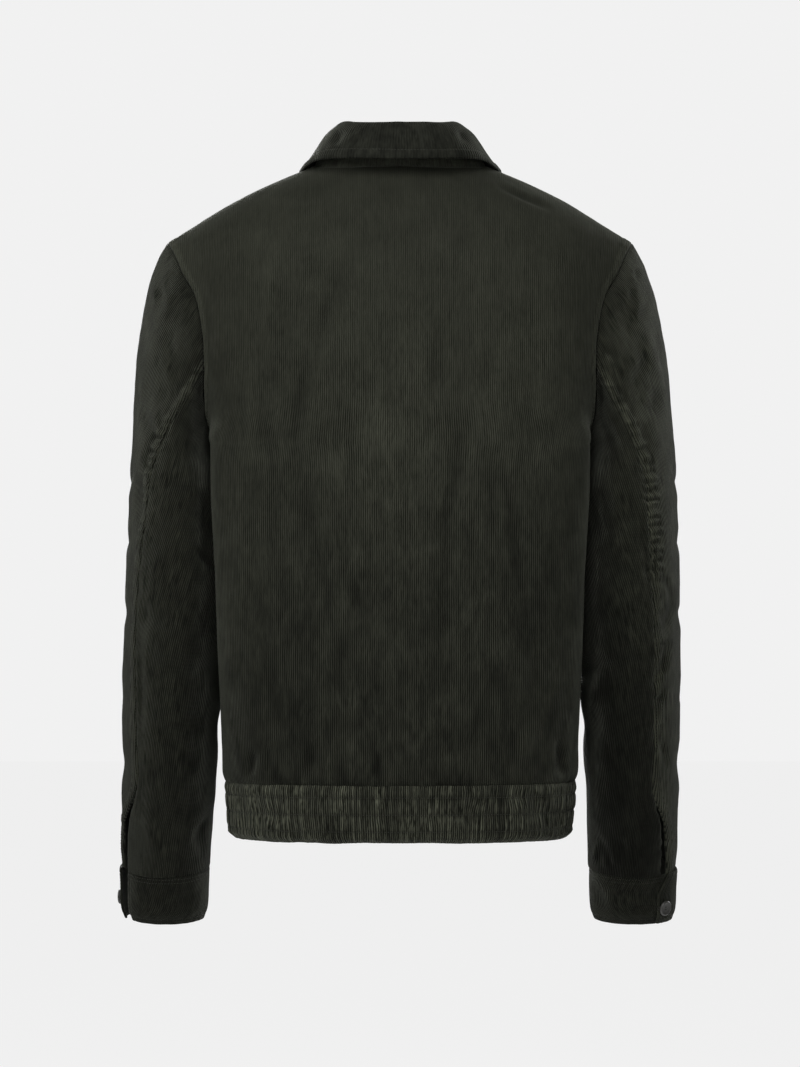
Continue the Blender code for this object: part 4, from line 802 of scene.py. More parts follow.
def draw_rungs(cloth, border, rungs, share=1.0):
    """Ridges across a seam, each with a pit under it, with a painted highlight on the ridge and painted shade in the
    pit.
    """
    away, z = cloth.distance[border], cloth.base[..., 2]
    for rung in rungs:
        below = rung.z + rung.slant * away - z
        ends = soft_step(away / 0.0012) * (1 - soft_step((away - rung.reach * share) / RUNG_FADE + 0.5))
        profile = hump(below, RUNG_WIDTH) - RUNG_PIT * hump(below - 1.8 * RUNG_WIDTH, RUNG_WIDTH)
        cloth.relief += rung.rise * share * ends * profile
        cloth.nap += RUNG_PAINTED_LIGHT_AND_SHADE * rung.rise * share * ends * profile


def crease_relief(creases, across, up):
    """Soft troughs along curves, each with a low ridge on both sides, that taper off to their ends."""
    total = np.zeros(across.shape)
    t = np.linspace(0, 1, CREASE_STEPS)
    for crease in creases:
        run_x, run_z = crease.x1 - crease.x0, crease.z1 - crease.z0
        length = math.hypot(run_x, run_z)
        bow = crease.bend * 4 * t * (1 - t)
        line_x = crease.x0 + run_x * t - run_z / length * bow
        line_z = crease.z0 + run_z * t + run_x / length * bow
        reach = 4 * crease.width
        near = (
            (across > line_x.min() - reach) & (across < line_x.max() + reach)
            & (up > line_z.min() - reach) & (up < line_z.max() + reach)
        )
        if not near.any():
            continue
        gap = (across[near][:, None] - line_x) ** 2 + (up[near][:, None] - line_z) ** 2
        nearest = gap.argmin(axis=1)
        gap = np.sqrt(gap[np.arange(len(gap)), nearest])
        taper = np.sin(np.pi * np.clip(t[nearest], 0, 1)) ** 0.75
        profile = hump(gap, crease.width) - CREASE_SHOULDER * hump(gap, crease.width * CREASE_SHOULDER_WIDTH)
        total[near] -= CREASE_DEEPEN * crease.depth * taper * profile
    return total


def crease(cloth, relief):
    """Adds the relief of creases, with painted shade in the trough and a painted highlight on the ridge."""
    cloth.relief += relief
    cloth.nap += CREASE_PAINTED_LIGHT_AND_SHADE * relief


def uneven(cloth, height, size, seed):
    cloth.relief += height * soft_noise(cloth.base, size, seed)


# ---------------------------------------------------------------- meshes
def add_mesh(name, vertices, quads, materials, indices=None, ribs=None, crisp=None):
    """A smooth mesh from arrays of vertices and of faces with four corners; a triangle repeats its last corner."""
    quads = np.asarray(quads)
    is_triangle = quads[:, 2] == quads[:, 3]
    mesh = bpy.data.meshes.new(name)
    counts = np.where(is_triangle, 3, 4)
    keep = np.ones(quads.shape, bool)
    keep[is_triangle, 3] = False
    corners = quads[keep]
    mesh.vertices.add(len(vertices))
    mesh.vertices.foreach_set("co", np.asarray(vertices, np.float32).ravel())
    mesh.loops.add(len(corners))
    mesh.loops.foreach_set("vertex_index", corners.astype(np.int32))
    mesh.polygons.add(len(quads))
    mesh.polygons.foreach_set("loop_start", np.concatenate([[0], np.cumsum(counts)[:-1]]).astype(np.int32))
    mesh.polygons.foreach_set("use_smooth", np.ones(len(quads), bool))
    for material in materials:
        mesh.materials.append(material)
    if indices is not None:
        mesh.polygons.foreach_set("material_index", np.asarray(indices, np.int32))
    if ribs is not None:
        attribute = mesh.attributes.new("ribs", "FLOAT_VECTOR", "POINT")
        attribute.data.foreach_set("vector", np.asarray(ribs, np.float32).ravel())
        attribute = mesh.attributes.new("crisp", "FLOAT", "POINT")
        attribute.data.foreach_set("value", np.asarray(crisp, np.float32).ravel())
    mesh.update(calc_edges=True)
    mesh.validate()
    piece = bpy.data.objects.new(name, mesh)
    bpy.context.scene.collection.objects.link(piece)
    return piece


def lay_pile_and_painted_light(cloth):
    """How bright the nap lies all over a piece, with the painted light and shade laid on it and its brushed spots, and
    how crisply its ribs stand.
    """
    height, nap = cloth.base[..., 2], PILE_AND_PAINTED_LIGHT[cloth.node]
    share = (height - height.min()) / np.ptp(height)
    seed = list(PILE_AND_PAINTED_LIGHT).index(cloth.node) + 100
    spots = sum(weight * soft_noise(cloth.base, size, seed) for weight, size in zip((0.8, 0.8), MOTTLE_SIZES))
    mottle = 1 + spots * mix(nap.top_mottle, nap.foot_mottle, (1 - share) ** MOTTLE_FALL)
    bright = np.maximum(0.12, cloth.nap * mottle * mix(nap.foot, nap.top, share))
    return bright, cloth.crisp * mix(nap.foot_crisp, nap.top_crisp, share)


RIM_ANGLES = (45.0, 90.0, 135.0)


def cloth_piece(cloth, outside, inside):
    """The closed shell of a cloth: outer face, inner face and a rim that is rounded like a folded edge."""
    rows, columns = cloth.base.shape[:2]
    outer = cloth.outer()
    inner = outer - cloth.normals * cloth.thickness
    number = np.arange(rows * columns).reshape(rows, columns)
    corners = [number[:-1, :-1], number[1:, :-1], number[1:, 1:], number[:-1, 1:]]
    face = np.stack([c.ravel() for c in corners], axis=1)
    face = face[:, ::-1] if cloth.turned else face
    loop = np.concatenate([number[0, :-1], number[:-1, -1], number[-1, :0:-1], number[:0:-1, 0]])

    out = np.zeros_like(outer)
    bulge = np.zeros((rows, columns))
    for border, edge, next_in in (
        ("top", np.s_[0], np.s_[1]), ("bottom", np.s_[-1], np.s_[-2]),
        ("left", np.s_[:, 0], np.s_[:, 1]), ("right", np.s_[:, -1], np.s_[:, -2]),
    ):
        out[edge] += unit(outer[edge] - outer[next_in])
        bulge[edge] = np.maximum(bulge[edge], cloth.bulge[border])
    out, bulge = unit(out).reshape(-1, 3)[loop], bulge.ravel()[loop, None]
    normals = cloth.normals.reshape(-1, 3)[loop]
    middle = (outer + inner).reshape(-1, 3)[loop] / 2
    rims = [middle + normals * (cloth.thickness / 2 * cosine(a)) + out * bulge * sine(a) for a in RIM_ANGLES]

    count = rows * columns
    first = 2 * count
    rings = [loop] + [first + k * len(loop) + np.arange(len(loop)) for k in range(len(rims))] + [loop + count]
    rim_faces = []
    for ring, following in zip(rings, rings[1:]):
        quad = np.stack([ring, following, np.roll(following, -1), np.roll(ring, -1)], axis=1)
        rim_faces.append(quad[:, ::-1] if cloth.turned else quad)
    rim_faces = np.concatenate(rim_faces)[:, ::-1]
    vertices = np.concatenate([outer.reshape(-1, 3), inner.reshape(-1, 3)] + rims)
    quads = np.concatenate([face, face[:, ::-1] + count, rim_faces])
    indices = np.concatenate([np.zeros(len(face)), np.ones(len(face)), np.zeros(len(rim_faces))])
    bright, crisp = lay_pile_and_painted_light(cloth)
    pile = np.stack([cloth.ribs[..., 0], cloth.ribs[..., 1], bright, crisp], axis=-1).reshape(-1, 4)
    pile = np.concatenate([pile] * 2 + [pile[loop]] * len(rims))
    piece = add_mesh(cloth.node + "_cloth", vertices, quads, [outside, inside], indices, pile[:, :3], pile[:, 3])
    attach(piece, "root")
    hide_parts(cloth.node)
    return piece


STITCH_SIDES = 4
STITCH_RINGS = ((-0.44, 0.6, -0.4), (0.0, 1.0, 0.7), (0.44, 0.6, -0.4))


def stitch_mesh(name, runs, material):
    """Every stitch is a short thread that arches over the cloth between its two holes."""
    vertices, quads, start = [], [], 0
    for centres, directions, normals, length, radius in runs:
        if not len(centres):
            continue
        sides = unit(np.cross(normals, directions))
        count = 0
        template = []
        for at, wide, high in STITCH_RINGS:
            turns = [2 * np.pi * k / STITCH_SIDES for k in range(STITCH_SIDES)]
            for turn in turns:
                place = centres + directions * (at * length)
                place = place + sides * (radius * wide * math.cos(turn))
                place = place + normals * (radius * (high + wide * math.sin(turn)))
                vertices_of_one = place
                template.append(vertices_of_one)
                count += 1
        block = np.stack(template, axis=1)
        one = [tuple(range(STITCH_SIDES)), tuple(range(count - 1, count - 1 - STITCH_SIDES, -1))]
        for ring in range(len(STITCH_RINGS) - 1):
            low = ring * STITCH_SIDES
            for k in range(STITCH_SIDES):
                j = (k + 1) % STITCH_SIDES
                one.append((low + j, low + STITCH_SIDES + j, low + STITCH_SIDES + k, low + k))
        one = np.array(one)
        offsets = start + np.arange(len(centres)) * count
        quads.append((one[None] + offsets[:, None, None]).reshape(-1, 4))
        vertices.append(block.reshape(-1, 3))
        start += len(centres) * count
    piece = add_mesh(name, np.concatenate(vertices), np.concatenate(quads), [material])
    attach(piece, "root")
    return piece


def stitch_run(path, normals, step=STITCH_STEP, length=STITCH_LENGTH, radius=STITCH_RADIUS, first=0.0, last=1.0):
    """Stitches along a path, from a share of it to another."""
    walked = travelled(path)
    start, end = walked[-1] * first, walked[-1] * last
    at = np.arange(start + step / 2, end, step)
    centres = np.stack([np.interp(at, walked, path[:, k]) for k in range(3)], axis=1)
    ahead = np.stack([np.interp(at + step / 3, walked, path[:, k]) for k in range(3)], axis=1)
    behind = np.stack([np.interp(at - step / 3, walked, path[:, k]) for k in range(3)], axis=1)
    up = unit(np.stack([np.interp(at, walked, normals[:, k]) for k in range(3)], axis=1))
    return centres, unit(ahead - behind), up, length, radius


# ---------------------------------------------------------------- materials
class Shader:
    """A material's node tree, with short calls for its nodes."""

    def __init__(self, name, roughness, **sockets):
        self.material = bpy.data.materials.new(name)
        self.material.use_nodes = True
        self.tree = self.material.node_tree
        self.principled = self.tree.nodes["Principled BSDF"]
        self.principled.inputs["Roughness"].default_value = roughness
        for socket, value in sockets.items():
            self.principled.inputs[socket.replace("_", " ").title().replace("Ior", "IOR")].default_value = value

    def add(self, kind, *links, **settings):
        node = self.tree.nodes.new(kind)
        for name, value in settings.items():
            setattr(node, name, value)
        for place, value in links:
            socket = node.inputs[place]
            if isinstance(value, bpy.types.NodeSocket):
                self.tree.links.new(value, socket)
            else:
                socket.default_value = value
        return node

    def math(self, operation, *values):
        return self.add("ShaderNodeMath", *enumerate(values), operation=operation).outputs[0]

    def noise(self, vector, scale, detail=2.0):
        links = (("Vector", vector), ("Scale", scale), ("Detail", detail))
        return self.add("ShaderNodeTexNoise", *links).outputs["Fac"]

    def join(self, x, y, z=0.0):
        return self.add("ShaderNodeCombineXYZ", (0, x), (1, y), (2, z)).outputs[0]

    def place(self):
        return self.add("ShaderNodeTexCoord").outputs["Object"]

    def blend(self, share, low, high):
        node = self.add("ShaderNodeMix", ("Factor", share), data_type="RGBA")
        colours = [socket for socket in node.inputs if socket.type == "RGBA"]
        for socket, colour in zip(colours, (low, high)):
            if isinstance(colour, bpy.types.NodeSocket):
                self.tree.links.new(colour, socket)
            else:
                socket.default_value = (*colour, 1)
        return next(socket for socket in node.outputs if socket.type == "RGBA")

    def bump(self, height, distance, strength=1.0, under=None):
        links = [("Height", height), ("Distance", distance), ("Strength", strength)]
        if under is not None:
            links.append(("Normal", under))
        return self.add("ShaderNodeBump", *links).outputs["Normal"]

    def set(self, **sockets):
        for name, source in sockets.items():
            self.tree.links.new(source, self.principled.inputs[name.replace("_", " ").title()])


def corduroy(name, groove, crest, rib_strength, dash_strength, dash_length):
    """Ribs in the direction of the cloth, their grooves painted darker than their crests as painted shade. Some stand
    crisp and others lie flat, in soft patches and in dashes along each rib. The third part of "ribs" is how bright the
    nap lies, with the painted light and shade laid on it, and "crisp" is how much all this stands out."""
    shader = Shader(name, 0.85, sheen_weight=0.12, sheen_roughness=0.4, specular_ior_level=0.15)
    shader.principled.inputs["Sheen Tint"].default_value = (0.80, 0.84, 0.69, 1)
    shader.principled.inputs["Specular Tint"].default_value = (0.95, 0.98, 0.86, 1)
    ribs = shader.add("ShaderNodeAttribute", attribute_name="ribs").outputs["Vector"]
    stand = shader.add("ShaderNodeAttribute", attribute_name="crisp").outputs["Fac"]
    split = shader.add("ShaderNodeSeparateXYZ", ("Vector", ribs))
    across, along, nap = split.outputs
    place = shader.place()
    wobble = shader.math("SUBTRACT", shader.noise(place, 80.0), 0.5)
    across = shader.math("MULTIPLY_ADD", wobble, 0.0008, across)
    wave = shader.math("COSINE", shader.math("MULTIPLY", across, 2 * math.pi / WALE))
    rib = shader.math("MULTIPLY_ADD", wave, 0.5, 0.5)

    def streaks(rib_count, length):
        vector = shader.join(shader.math("MULTIPLY", across, 1 / (WALE * rib_count)),
                             shader.math("MULTIPLY", along, 1 / length))
        return shader.math("SUBTRACT", shader.noise(vector, 1.0, 1.0), 0.5)

    dashes, narrow, middle = streaks(1.3, dash_length), streaks(1.0, 0.028), streaks(2.2, 0.070)
    fibre = shader.math("SUBTRACT", shader.noise(shader.join(shader.math("MULTIPLY", across, 2600.0),
                                                             shader.math("MULTIPLY", along, 700.0)), 1.0), 0.5)
    patch = shader.math("SUBTRACT", shader.noise(place, 30.0, 4.0), 0.5)
    crisp = shader.noise(shader.add("ShaderNodeMapping", ("Vector", place), ("Scale", (60.0, 60.0, 34.0))).outputs[0],
                         1.0, 2.0)
    crisp = shader.add("ShaderNodeMapRange", ("Value", crisp), ("From Min", 0.36), ("From Max", 0.62),
                       ("To Min", 0.45), ("To Max", 1.0)).outputs["Result"]
    # The grooves are painted darker than the crests: painted shade between the ribs.
    tone = shader.math("MULTIPLY", shader.math("MULTIPLY_ADD", rib, rib_strength, -0.5 * rib_strength), crisp)
    for strength, source in ((dash_strength, dashes), (0.80, narrow), (0.50, fibre)):
        tone = shader.math("MULTIPLY_ADD", source, strength, tone)
    tone = shader.math("MULTIPLY", tone, stand)
    for strength, source in ((0.20, middle), (0.50, patch)):
        tone = shader.math("MULTIPLY_ADD", source, strength, tone)
    tone = shader.add("ShaderNodeClamp", ("Value", shader.math("ADD", tone, 0.5))).outputs[0]
    # nap is the nap's brightness with the painted light and shade laid on it; it scales the colour.
    colour = shader.add("ShaderNodeVectorMath", (0, shader.blend(tone, groove, crest)), ("Scale", nap),
                        operation="SCALE").outputs[0]
    shader.set(base_color=colour)
    fine = shader.bump(fibre, 0.00012, 0.6)
    raised = shader.math("MULTIPLY", shader.math("MULTIPLY", rib, crisp), stand)
    raised = shader.math("MULTIPLY_ADD", shader.math("MULTIPLY", dashes, stand), 0.5, raised)
    shader.set(normal=shader.bump(raised, 0.0006, 1.0, fine))
    return shader.material


def cloth_inside(name):
    """The flat back of the corduroy: a plain weave without nap."""
    shader = Shader(name, 0.85, specular_ior_level=0.2)
    ribs = shader.add("ShaderNodeAttribute", attribute_name="ribs").outputs["Vector"]
    split = shader.add("ShaderNodeSeparateXYZ", ("Vector", ribs))
    warp, weft = (
        shader.math("SINE", shader.math("MULTIPLY", split.outputs[k], 2 * math.pi / 0.0007)) for k in (0, 1)
    )
    weave = shader.math("MULTIPLY_ADD", shader.math("MULTIPLY", warp, weft), 0.5, 0.5)
    patch = shader.noise(shader.place(), 30.0, 3.0)
    tone = shader.math("MULTIPLY_ADD", weave, 0.5, shader.math("MULTIPLY", patch, 0.5))
    shader.set(base_color=shader.blend(tone, (0.010, 0.011, 0.008), (0.022, 0.023, 0.018)))
    shader.set(normal=shader.bump(weave, 0.0001, 0.7))
    return shader.material


def thread_material():
    shader = Shader("thread", 0.6, specular_ior_level=0.35)
    twist = shader.noise(shader.place(), 2500.0)
    shader.set(base_color=shader.blend(twist, (0.020, 0.021, 0.016), (0.042, 0.043, 0.034)))
    return shader.material


def button_material():
    """Dull grey horn with a faint grain and a worn, satin face."""
    shader = Shader("button_horn_fine", 0.34, specular_ior_level=0.5)
    place = shader.place()
    stretched = shader.add("ShaderNodeMapping", ("Vector", place), ("Scale", (260.0, 260.0, 1100.0))).outputs[0]
    grain = shader.noise(stretched, 1.0, 4.0)
    shader.set(base_color=shader.blend(grain, (0.030, 0.029, 0.027), (0.085, 0.084, 0.078)))
    wear = shader.noise(place, 900.0, 3.0)
    shader.set(roughness=shader.math("MULTIPLY_ADD", wear, 0.22, 0.26))
    shader.set(normal=shader.bump(grain, 0.00006, 0.5))
    return shader.material


def floor_material():
    """Looks as pale as the surround, however little of the lamps' light reaches it; to the jacket it is a white floor
    that sheds no light of its own."""
    shader = Shader("studio_floor", 0.9, specular_ior_level=0.1)
    grain = shader.noise(shader.place(), 3.0, 4.0)
    seen = shader.add("ShaderNodeLightPath").outputs["Is Camera Ray"]
    as_seen = shader.blend(grain, (0.145, 0.145, 0.145), (0.155, 0.155, 0.154))
    shader.set(base_color=shader.blend(seen, (0.82, 0.82, 0.82), as_seen))
    shader.principled.inputs["Emission Color"].default_value = (1, 1, 1, 1)
    shader.set(emission_strength=shader.math("MULTIPLY", seen, FLOOR_GLOW))
    return shader.material


# ---------------------------------------------------------------- body
BACK_COARSE, FRONT_COARSE, SLEEVE_COARSE = 0.0030, 0.0040, 0.0035


def body_outward(at):
    return points(at[..., 0], at[..., 1] * 2, np.maximum(at[..., 2], -0.2) + 0.2)


def fine_levels(coarse):
    """Levels of a body panel from the neck and shoulder down to the band."""
    levels = np.linspace(2, 0, 1601)
    walked = travelled(body_point("back", levels, np.full(levels.shape, 0.6)))
    return np.interp(graded(walked[-1], coarse, 0.0011, 0.010) * walked[-1], walked, levels)


def fine_columns(face, start, coarse):
    """Columns of a body panel from start to the side seam, one of them exactly at the neck point."""
    columns = np.linspace(start, 1, 1001)
    walked = travelled(body_point(face, np.ones(columns.shape), columns))
    shares = graded(2 * walked[-1], coarse, 0.0009, 0.011)
    shares = shares[shares >= 0.5] * 2 - 1
    found = np.interp(shares * walked[-1], walked, columns)
    found[0] = start
    found[np.argmin(np.abs(found - NECK_COLUMN))] = NECK_COLUMN
    return found


def smoothed(values, reach):
    """Values averaged over the rows near each row."""
    weights = np.hanning(2 * reach + 1)
    padded = np.pad(values, ((reach, reach), (0, 0)), mode="edge")
    total = sum(w * padded[k : k + len(values)] for k, w in enumerate(weights))
    return total / weights.sum()


RIB_SMOOTHING = 22  # rows on each side


def body_ribs(grid, levels):
    """Across the ribs is the level distance from the middle; above the chest it goes by x alone, as on the cut."""
    flat = grid * np.array((1, 1, 0))
    middle = np.argmin(np.abs(grid[:, :, 0]), axis=1)
    across = travelled(np.swapaxes(flat, 0, 1)).T
    across = across - across[np.arange(len(across)), middle][:, None]
    guide = int(np.argmin(np.abs(levels - ROLL_FROM)))
    x, u = grid[guide, :, 0], across[guide]
    order = np.argsort(x)
    x, u = x[order], u[order]
    for row in range(guide):
        at = grid[row, :, 0]
        value = np.interp(at, x, u)
        value = np.where(at > x[-1], u[-1] + (at - x[-1]), value)
        across[row] = np.where(at < x[0], u[0] + (at - x[0]), value)
    return points(smoothed(across, RIB_SMOOTHING), travelled(grid), 0.0)


def gathered_above_band(cloth, seed):
    """Small shirring where the body is eased into the band."""
    away, along = cloth.distance["bottom"], cloth.run["bottom"]
    wave = line_noise(along, 0.0042, seed) + 0.6 * line_noise(along, 0.0085, seed + 1)
    cloth.relief += 0.0007 * wave * np.exp(-away / 0.012)
    cloth.relief += 0.0011 * line_noise(along, 0.016, seed + 2) * hump(away - 0.016, 0.018)


def body_relief(cloth, folds, creases, across, seam_borders, seed):
    fade = soft_step(nearest_seam(cloth, seam_borders) / FOLD_FADE)
    z = cloth.base[..., 2]
    cloth.relief -= fold_depth(folds, z, across) * fade
    crease(cloth, crease_relief(creases, across, z) * fade)
    uneven(cloth, 0.0006, (0.045, 0.045, 0.110), seed)
    uneven(cloth, 0.0003, (0.014, 0.014, 0.040), seed + 1)
    uneven(cloth, 0.00012, (0.006, 0.006, 0.010), seed + 2)
    gathered_above_band(cloth, seed)
    tuck(cloth, seam_borders)


def armhole_edge(cloth, border, levels, seed):
    """Welt and two rows of stitches on the body's side of the sleeve seam, above the armpit."""
    share = np.broadcast_to(soft_step((levels - 1.0) / 0.15)[:, None], cloth.relief.shape)
    welt(cloth, border, share=share)
    for distance in (TOPSTITCH_NEAR, TOPSTITCH_FAR):
        stitch_groove(cloth, border, distance, share)
    pucker(cloth, border, 0.0007, 0.0072, 0.006, 0.009, share, seed)


def back_cloth():
    levels = fine_levels(BACK_COARSE)
    half = fine_columns("back", 0.0, BACK_COARSE)
    left = body_point("back", levels[:, None], half[None, :])
    right = left[:, :0:-1] * np.array((-1, 1, 1))
    grid = np.concatenate([right, left], axis=1)
    cloth = Cloth("back", grid, body_outward, CLOTH)
    cloth.ribs = body_ribs(grid, levels)
    body_relief(cloth, BACK_FOLDS, BACK_CREASES, grid[..., 0], BORDERS, 11)
    for border in ("left", "right"):
        armhole_edge(cloth, border, levels, 21)
        cloth.bulge[border] = SEAM_CLOSE
    cloth.bulge["bottom"] = SEAM_CLOSE
    ripple_patches(cloth)
    # painted light and shade on the back
    for patch in BACK_PAINTED_LIGHT:
        aside, below = grid[..., 0] - patch.x, grid[..., 2] - patch.z
        cloth.nap += patch.change * hump(aside, patch.half_width) * hump(below, patch.half_height)
    return cloth, levels


Ripples = namedtuple("Ripples", "x z half_width half_height")
RIPPLES = [Ripples(0.140, -0.246, 0.016, 0.020), Ripples(0.021, -0.262, 0.012, 0.020)]


def ripple_patches(cloth):
    """Fine level ripples where the cloth has been pressed down on itself."""
    for patch in RIPPLES:
        x, z = cloth.base[..., 0], cloth.base[..., 2]
        window = hump(x - patch.x, patch.half_width) * hump(z - patch.z, patch.half_height)
        cloth.relief += 0.00022 * window * np.sin(2 * np.pi * (z + 0.12 * np.abs(x - patch.x)) / 0.0062)


LAP_STEPS = 24


def front_cloth(side):
    levels = fine_levels(FRONT_COARSE)
    lap = column_at("front", levels, np.full(levels.shape, FRONT_LAP))[:, None]
    plain = fine_columns("front", float(lap.mean()), FRONT_COARSE)
    split = int(np.argmin(np.abs(plain - NECK_COLUMN)))
    inner = (plain[: split + 1] - plain[0]) / (plain[split] - plain[0])
    columns = np.concatenate(
        [
            lap * np.linspace(-1, 1, LAP_STEPS + 1)[None, :-1],
            lap + (NECK_COLUMN - lap) * inner[None, :],
            np.broadcast_to(plain[None, split + 1 :], (len(levels), len(plain) - split - 1)),
        ],
        axis=1,
    )
    grid = body_point("front", levels[:, None], np.abs(columns))
    grid[..., 0] = np.copysign(grid[..., 0], columns)
    cloth = Cloth("front_" + side, grid, body_outward, CLOTH)
    across = grid[..., 0]
    if side == "left":
        lift = (CLOTH + LAP_GAP) * (1 - soft_step((across - FRONT_LAP) / LAP_RAMP))
        cloth.relief += lift
    cloth.ribs = body_ribs(grid, levels)
    seams = ("top", "bottom", "right")
    body_relief(cloth, FRONT_FOLDS, FRONT_CREASES, across, seams, 31 if side == "left" else 37)
    armhole_edge(cloth, "right", levels, 41)
    cloth.bulge["right"] = cloth.bulge["bottom"] = SEAM_CLOSE
    placket(cloth)
    if side == "right":
        mirror(cloth)
    return cloth, levels


PLACKET_STITCH = 0.031  # the inner row, from the front edge


def placket(cloth):
    """The doubled front edge, with a row of stitches near the edge and one at the facing."""
    away = cloth.distance["left"]
    cloth.relief += 0.0004 * (1 - soft_step((away - PLACKET_STITCH) / 0.002)) * soft_step(away / 0.0015)
    stitch_groove(cloth, "left", EDGE_STITCH)
    stitch_groove(cloth, "left", PLACKET_STITCH)
    cloth.bulge["left"] = CLOTH / 2


def mirror(cloth):
    for name in ("base", "normals", "shift"):
        setattr(cloth, name, getattr(cloth, name) * np.array((-1, 1, 1)))
    cloth.turned = not cloth.turned


# ---------------------------------------------------------------- sleeves and cuffs
def sleeve_outward(at):
    away = at - arm_centre(at[..., 2])
    return points(away[..., 0], away[..., 1], 0.5 * np.maximum(0.0, at[..., 2] - ARMHOLE_MID_Z))


CAP_FINE_ROWS = 96


def sleeve_shell(side, top):
    """Rings of one half of a sleeve, from the armhole down to the cuff."""
    z = SLEEVE[0].z + graded(SLEEVE[0].z - SLEEVE_END, 0.0020, 0.0011, 0.008)[1:] * (SLEEVE_END - SLEEVE[0].z)
    outer_edge, inner_edge = seam_angles(side, SLEEVE[0].z)
    if top:
        first, arm = (BACK_SEAM_AT_ARMHOLE, FRONT_SEAM_AT_ARMHOLE), (outer_edge, FRONT_SEAM)
        width = 0.235
    else:
        first, arm = (FRONT_SEAM_AT_ARMHOLE, BACK_SEAM_AT_ARMHOLE + 360), (FRONT_SEAM, inner_edge + 360)
        width = 0.150
    across = graded(width, SLEEVE_COARSE, 0.0009, 0.010)
    share = np.linspace(0, 1, CAP_FINE_ROWS) ** 1.08
    cap = sleeve_cap_point(side, *np.broadcast_arrays(share[:, None], mix(*first, across), mix(*arm, across)))
    outer_edge, inner_edge = (edge[:, None] for edge in seam_angles(side, z))
    if top:
        angles = mix(outer_edge, FRONT_SEAM, across[None, :])
    else:
        angles = mix(FRONT_SEAM, inner_edge + 360, across[None, :])
    arm_part = sleeve_section_point(side, np.broadcast_to(z[:, None], angles.shape), angles)
    grid = np.concatenate([cap, arm_part])
    grid[..., 0] += SLEEVE_CLEARANCE
    return grid


def facing(normals):
    """How much of a sleeve's surface is seen from behind, from the front, and from the outer side."""
    back = soft_step(normals[..., 1] / 0.45)
    front = soft_step(-normals[..., 1] / 0.45)
    outer = soft_step((normals[..., 0] - 0.35) / 0.4)
    return {"back": back, "front": front, "outer": outer * (1 - 0.7 * np.maximum(back, front))}


def around_arm(at, home):
    """Angle about the arm, within half a turn of home, and distance from its middle."""
    away = at - arm_centre(at[..., 2])
    turn = np.degrees(np.arctan2(away[..., 0], away[..., 1]))
    return (turn - home + 180) % 360 - 180 + home, np.hypot(away[..., 0], away[..., 1])


def sleeve_ribs(side, grid, top):
    """Ribs run down a sleeve as on its cut: fewer of them where it tapers. They lean by the slant."""
    home = 90.0 if top else 270.0
    angles = np.linspace(home - 175, home + 175, 701)
    ring = sleeve_section_point(side, np.full(angles.shape, SLEEVE[0].z), angles)
    ring_turn, ring_reach = around_arm(ring, home)
    walked = travelled(ring)
    walked = walked - np.interp(home, ring_turn, walked)
    turn, reach = around_arm(grid, home)
    across = np.interp(turn, ring_turn, walked) * reach / np.interp(turn, ring_turn, ring_reach)
    heights = np.linspace(0, -0.75, 300)
    slope = np.tan(np.radians(smooth_read(SLEEVE_SLANT, "z", heights, "degrees")))
    lean = np.concatenate([[0], np.cumsum((slope[1:] + slope[:-1]) / 2 * -np.diff(heights))])
    lean = np.interp(-grid[..., 2], -heights, lean)
    return points(smoothed(across, RIB_SMOOTHING) - lean, travelled(grid), 0.0)


def sleeve_relief(cloth, side, top, seed):
    at = cloth.base
    fade = soft_step(nearest_seam(cloth, BORDERS) / FOLD_FADE)
    away = at - arm_centre(at[..., 2])
    around = np.degrees(np.arctan2(away[..., 0], away[..., 1])) % 360
    for turn in (-360, 0, 360):
        cloth.relief -= fold_depth(SLEEVE_FOLDS, at[..., 2], around + turn) * fade
    seen = facing(cloth.normals)
    weak = soft_step(cloth.distance["top"] / FOLD_FADE) * soft_step(cloth.distance["bottom"] / CRUMPLE_FADE)
    for (which, face), creases in SLEEVE_CREASES.items():
        if which in (side, "both"):
            flat = at[..., 1] if face == "outer" else at[..., 0]
            crease(cloth, crease_relief(creases, flat, at[..., 2]) * weak * seen[face])
    uneven(cloth, 0.0008, (0.028, 0.028, 0.042), seed)
    uneven(cloth, 0.0004, (0.010, 0.010, 0.016), seed + 1)
    uneven(cloth, 0.00015, (0.005, 0.005, 0.007), seed + 2)
    tuck(cloth, BORDERS, 0.0004)
    pucker(cloth, "top", 0.0007, 0.0075, 0.004, 0.009, seed=seed)
    gathered = 0.0006 * line_noise(cloth.run["bottom"], 0.0055, seed) * np.exp(-cloth.distance["bottom"] / 0.014)
    cloth.relief += gathered


# Painted shade beside the vent, on the top sleeve and on the under sleeve; where negative, painted light.
VENT_PAINTED_SHADE = {("left", True): 0.62, ("left", False): 0.10, ("right", True): -0.10, ("right", False): 0.20}
VENT_SHADE_REACH = 0.020
UNDER_FRONT, UNDER_FRONT_REACH = (-0.0021, 0.0008, 0.0), 0.003  # the sleeve's edge goes in under the front's


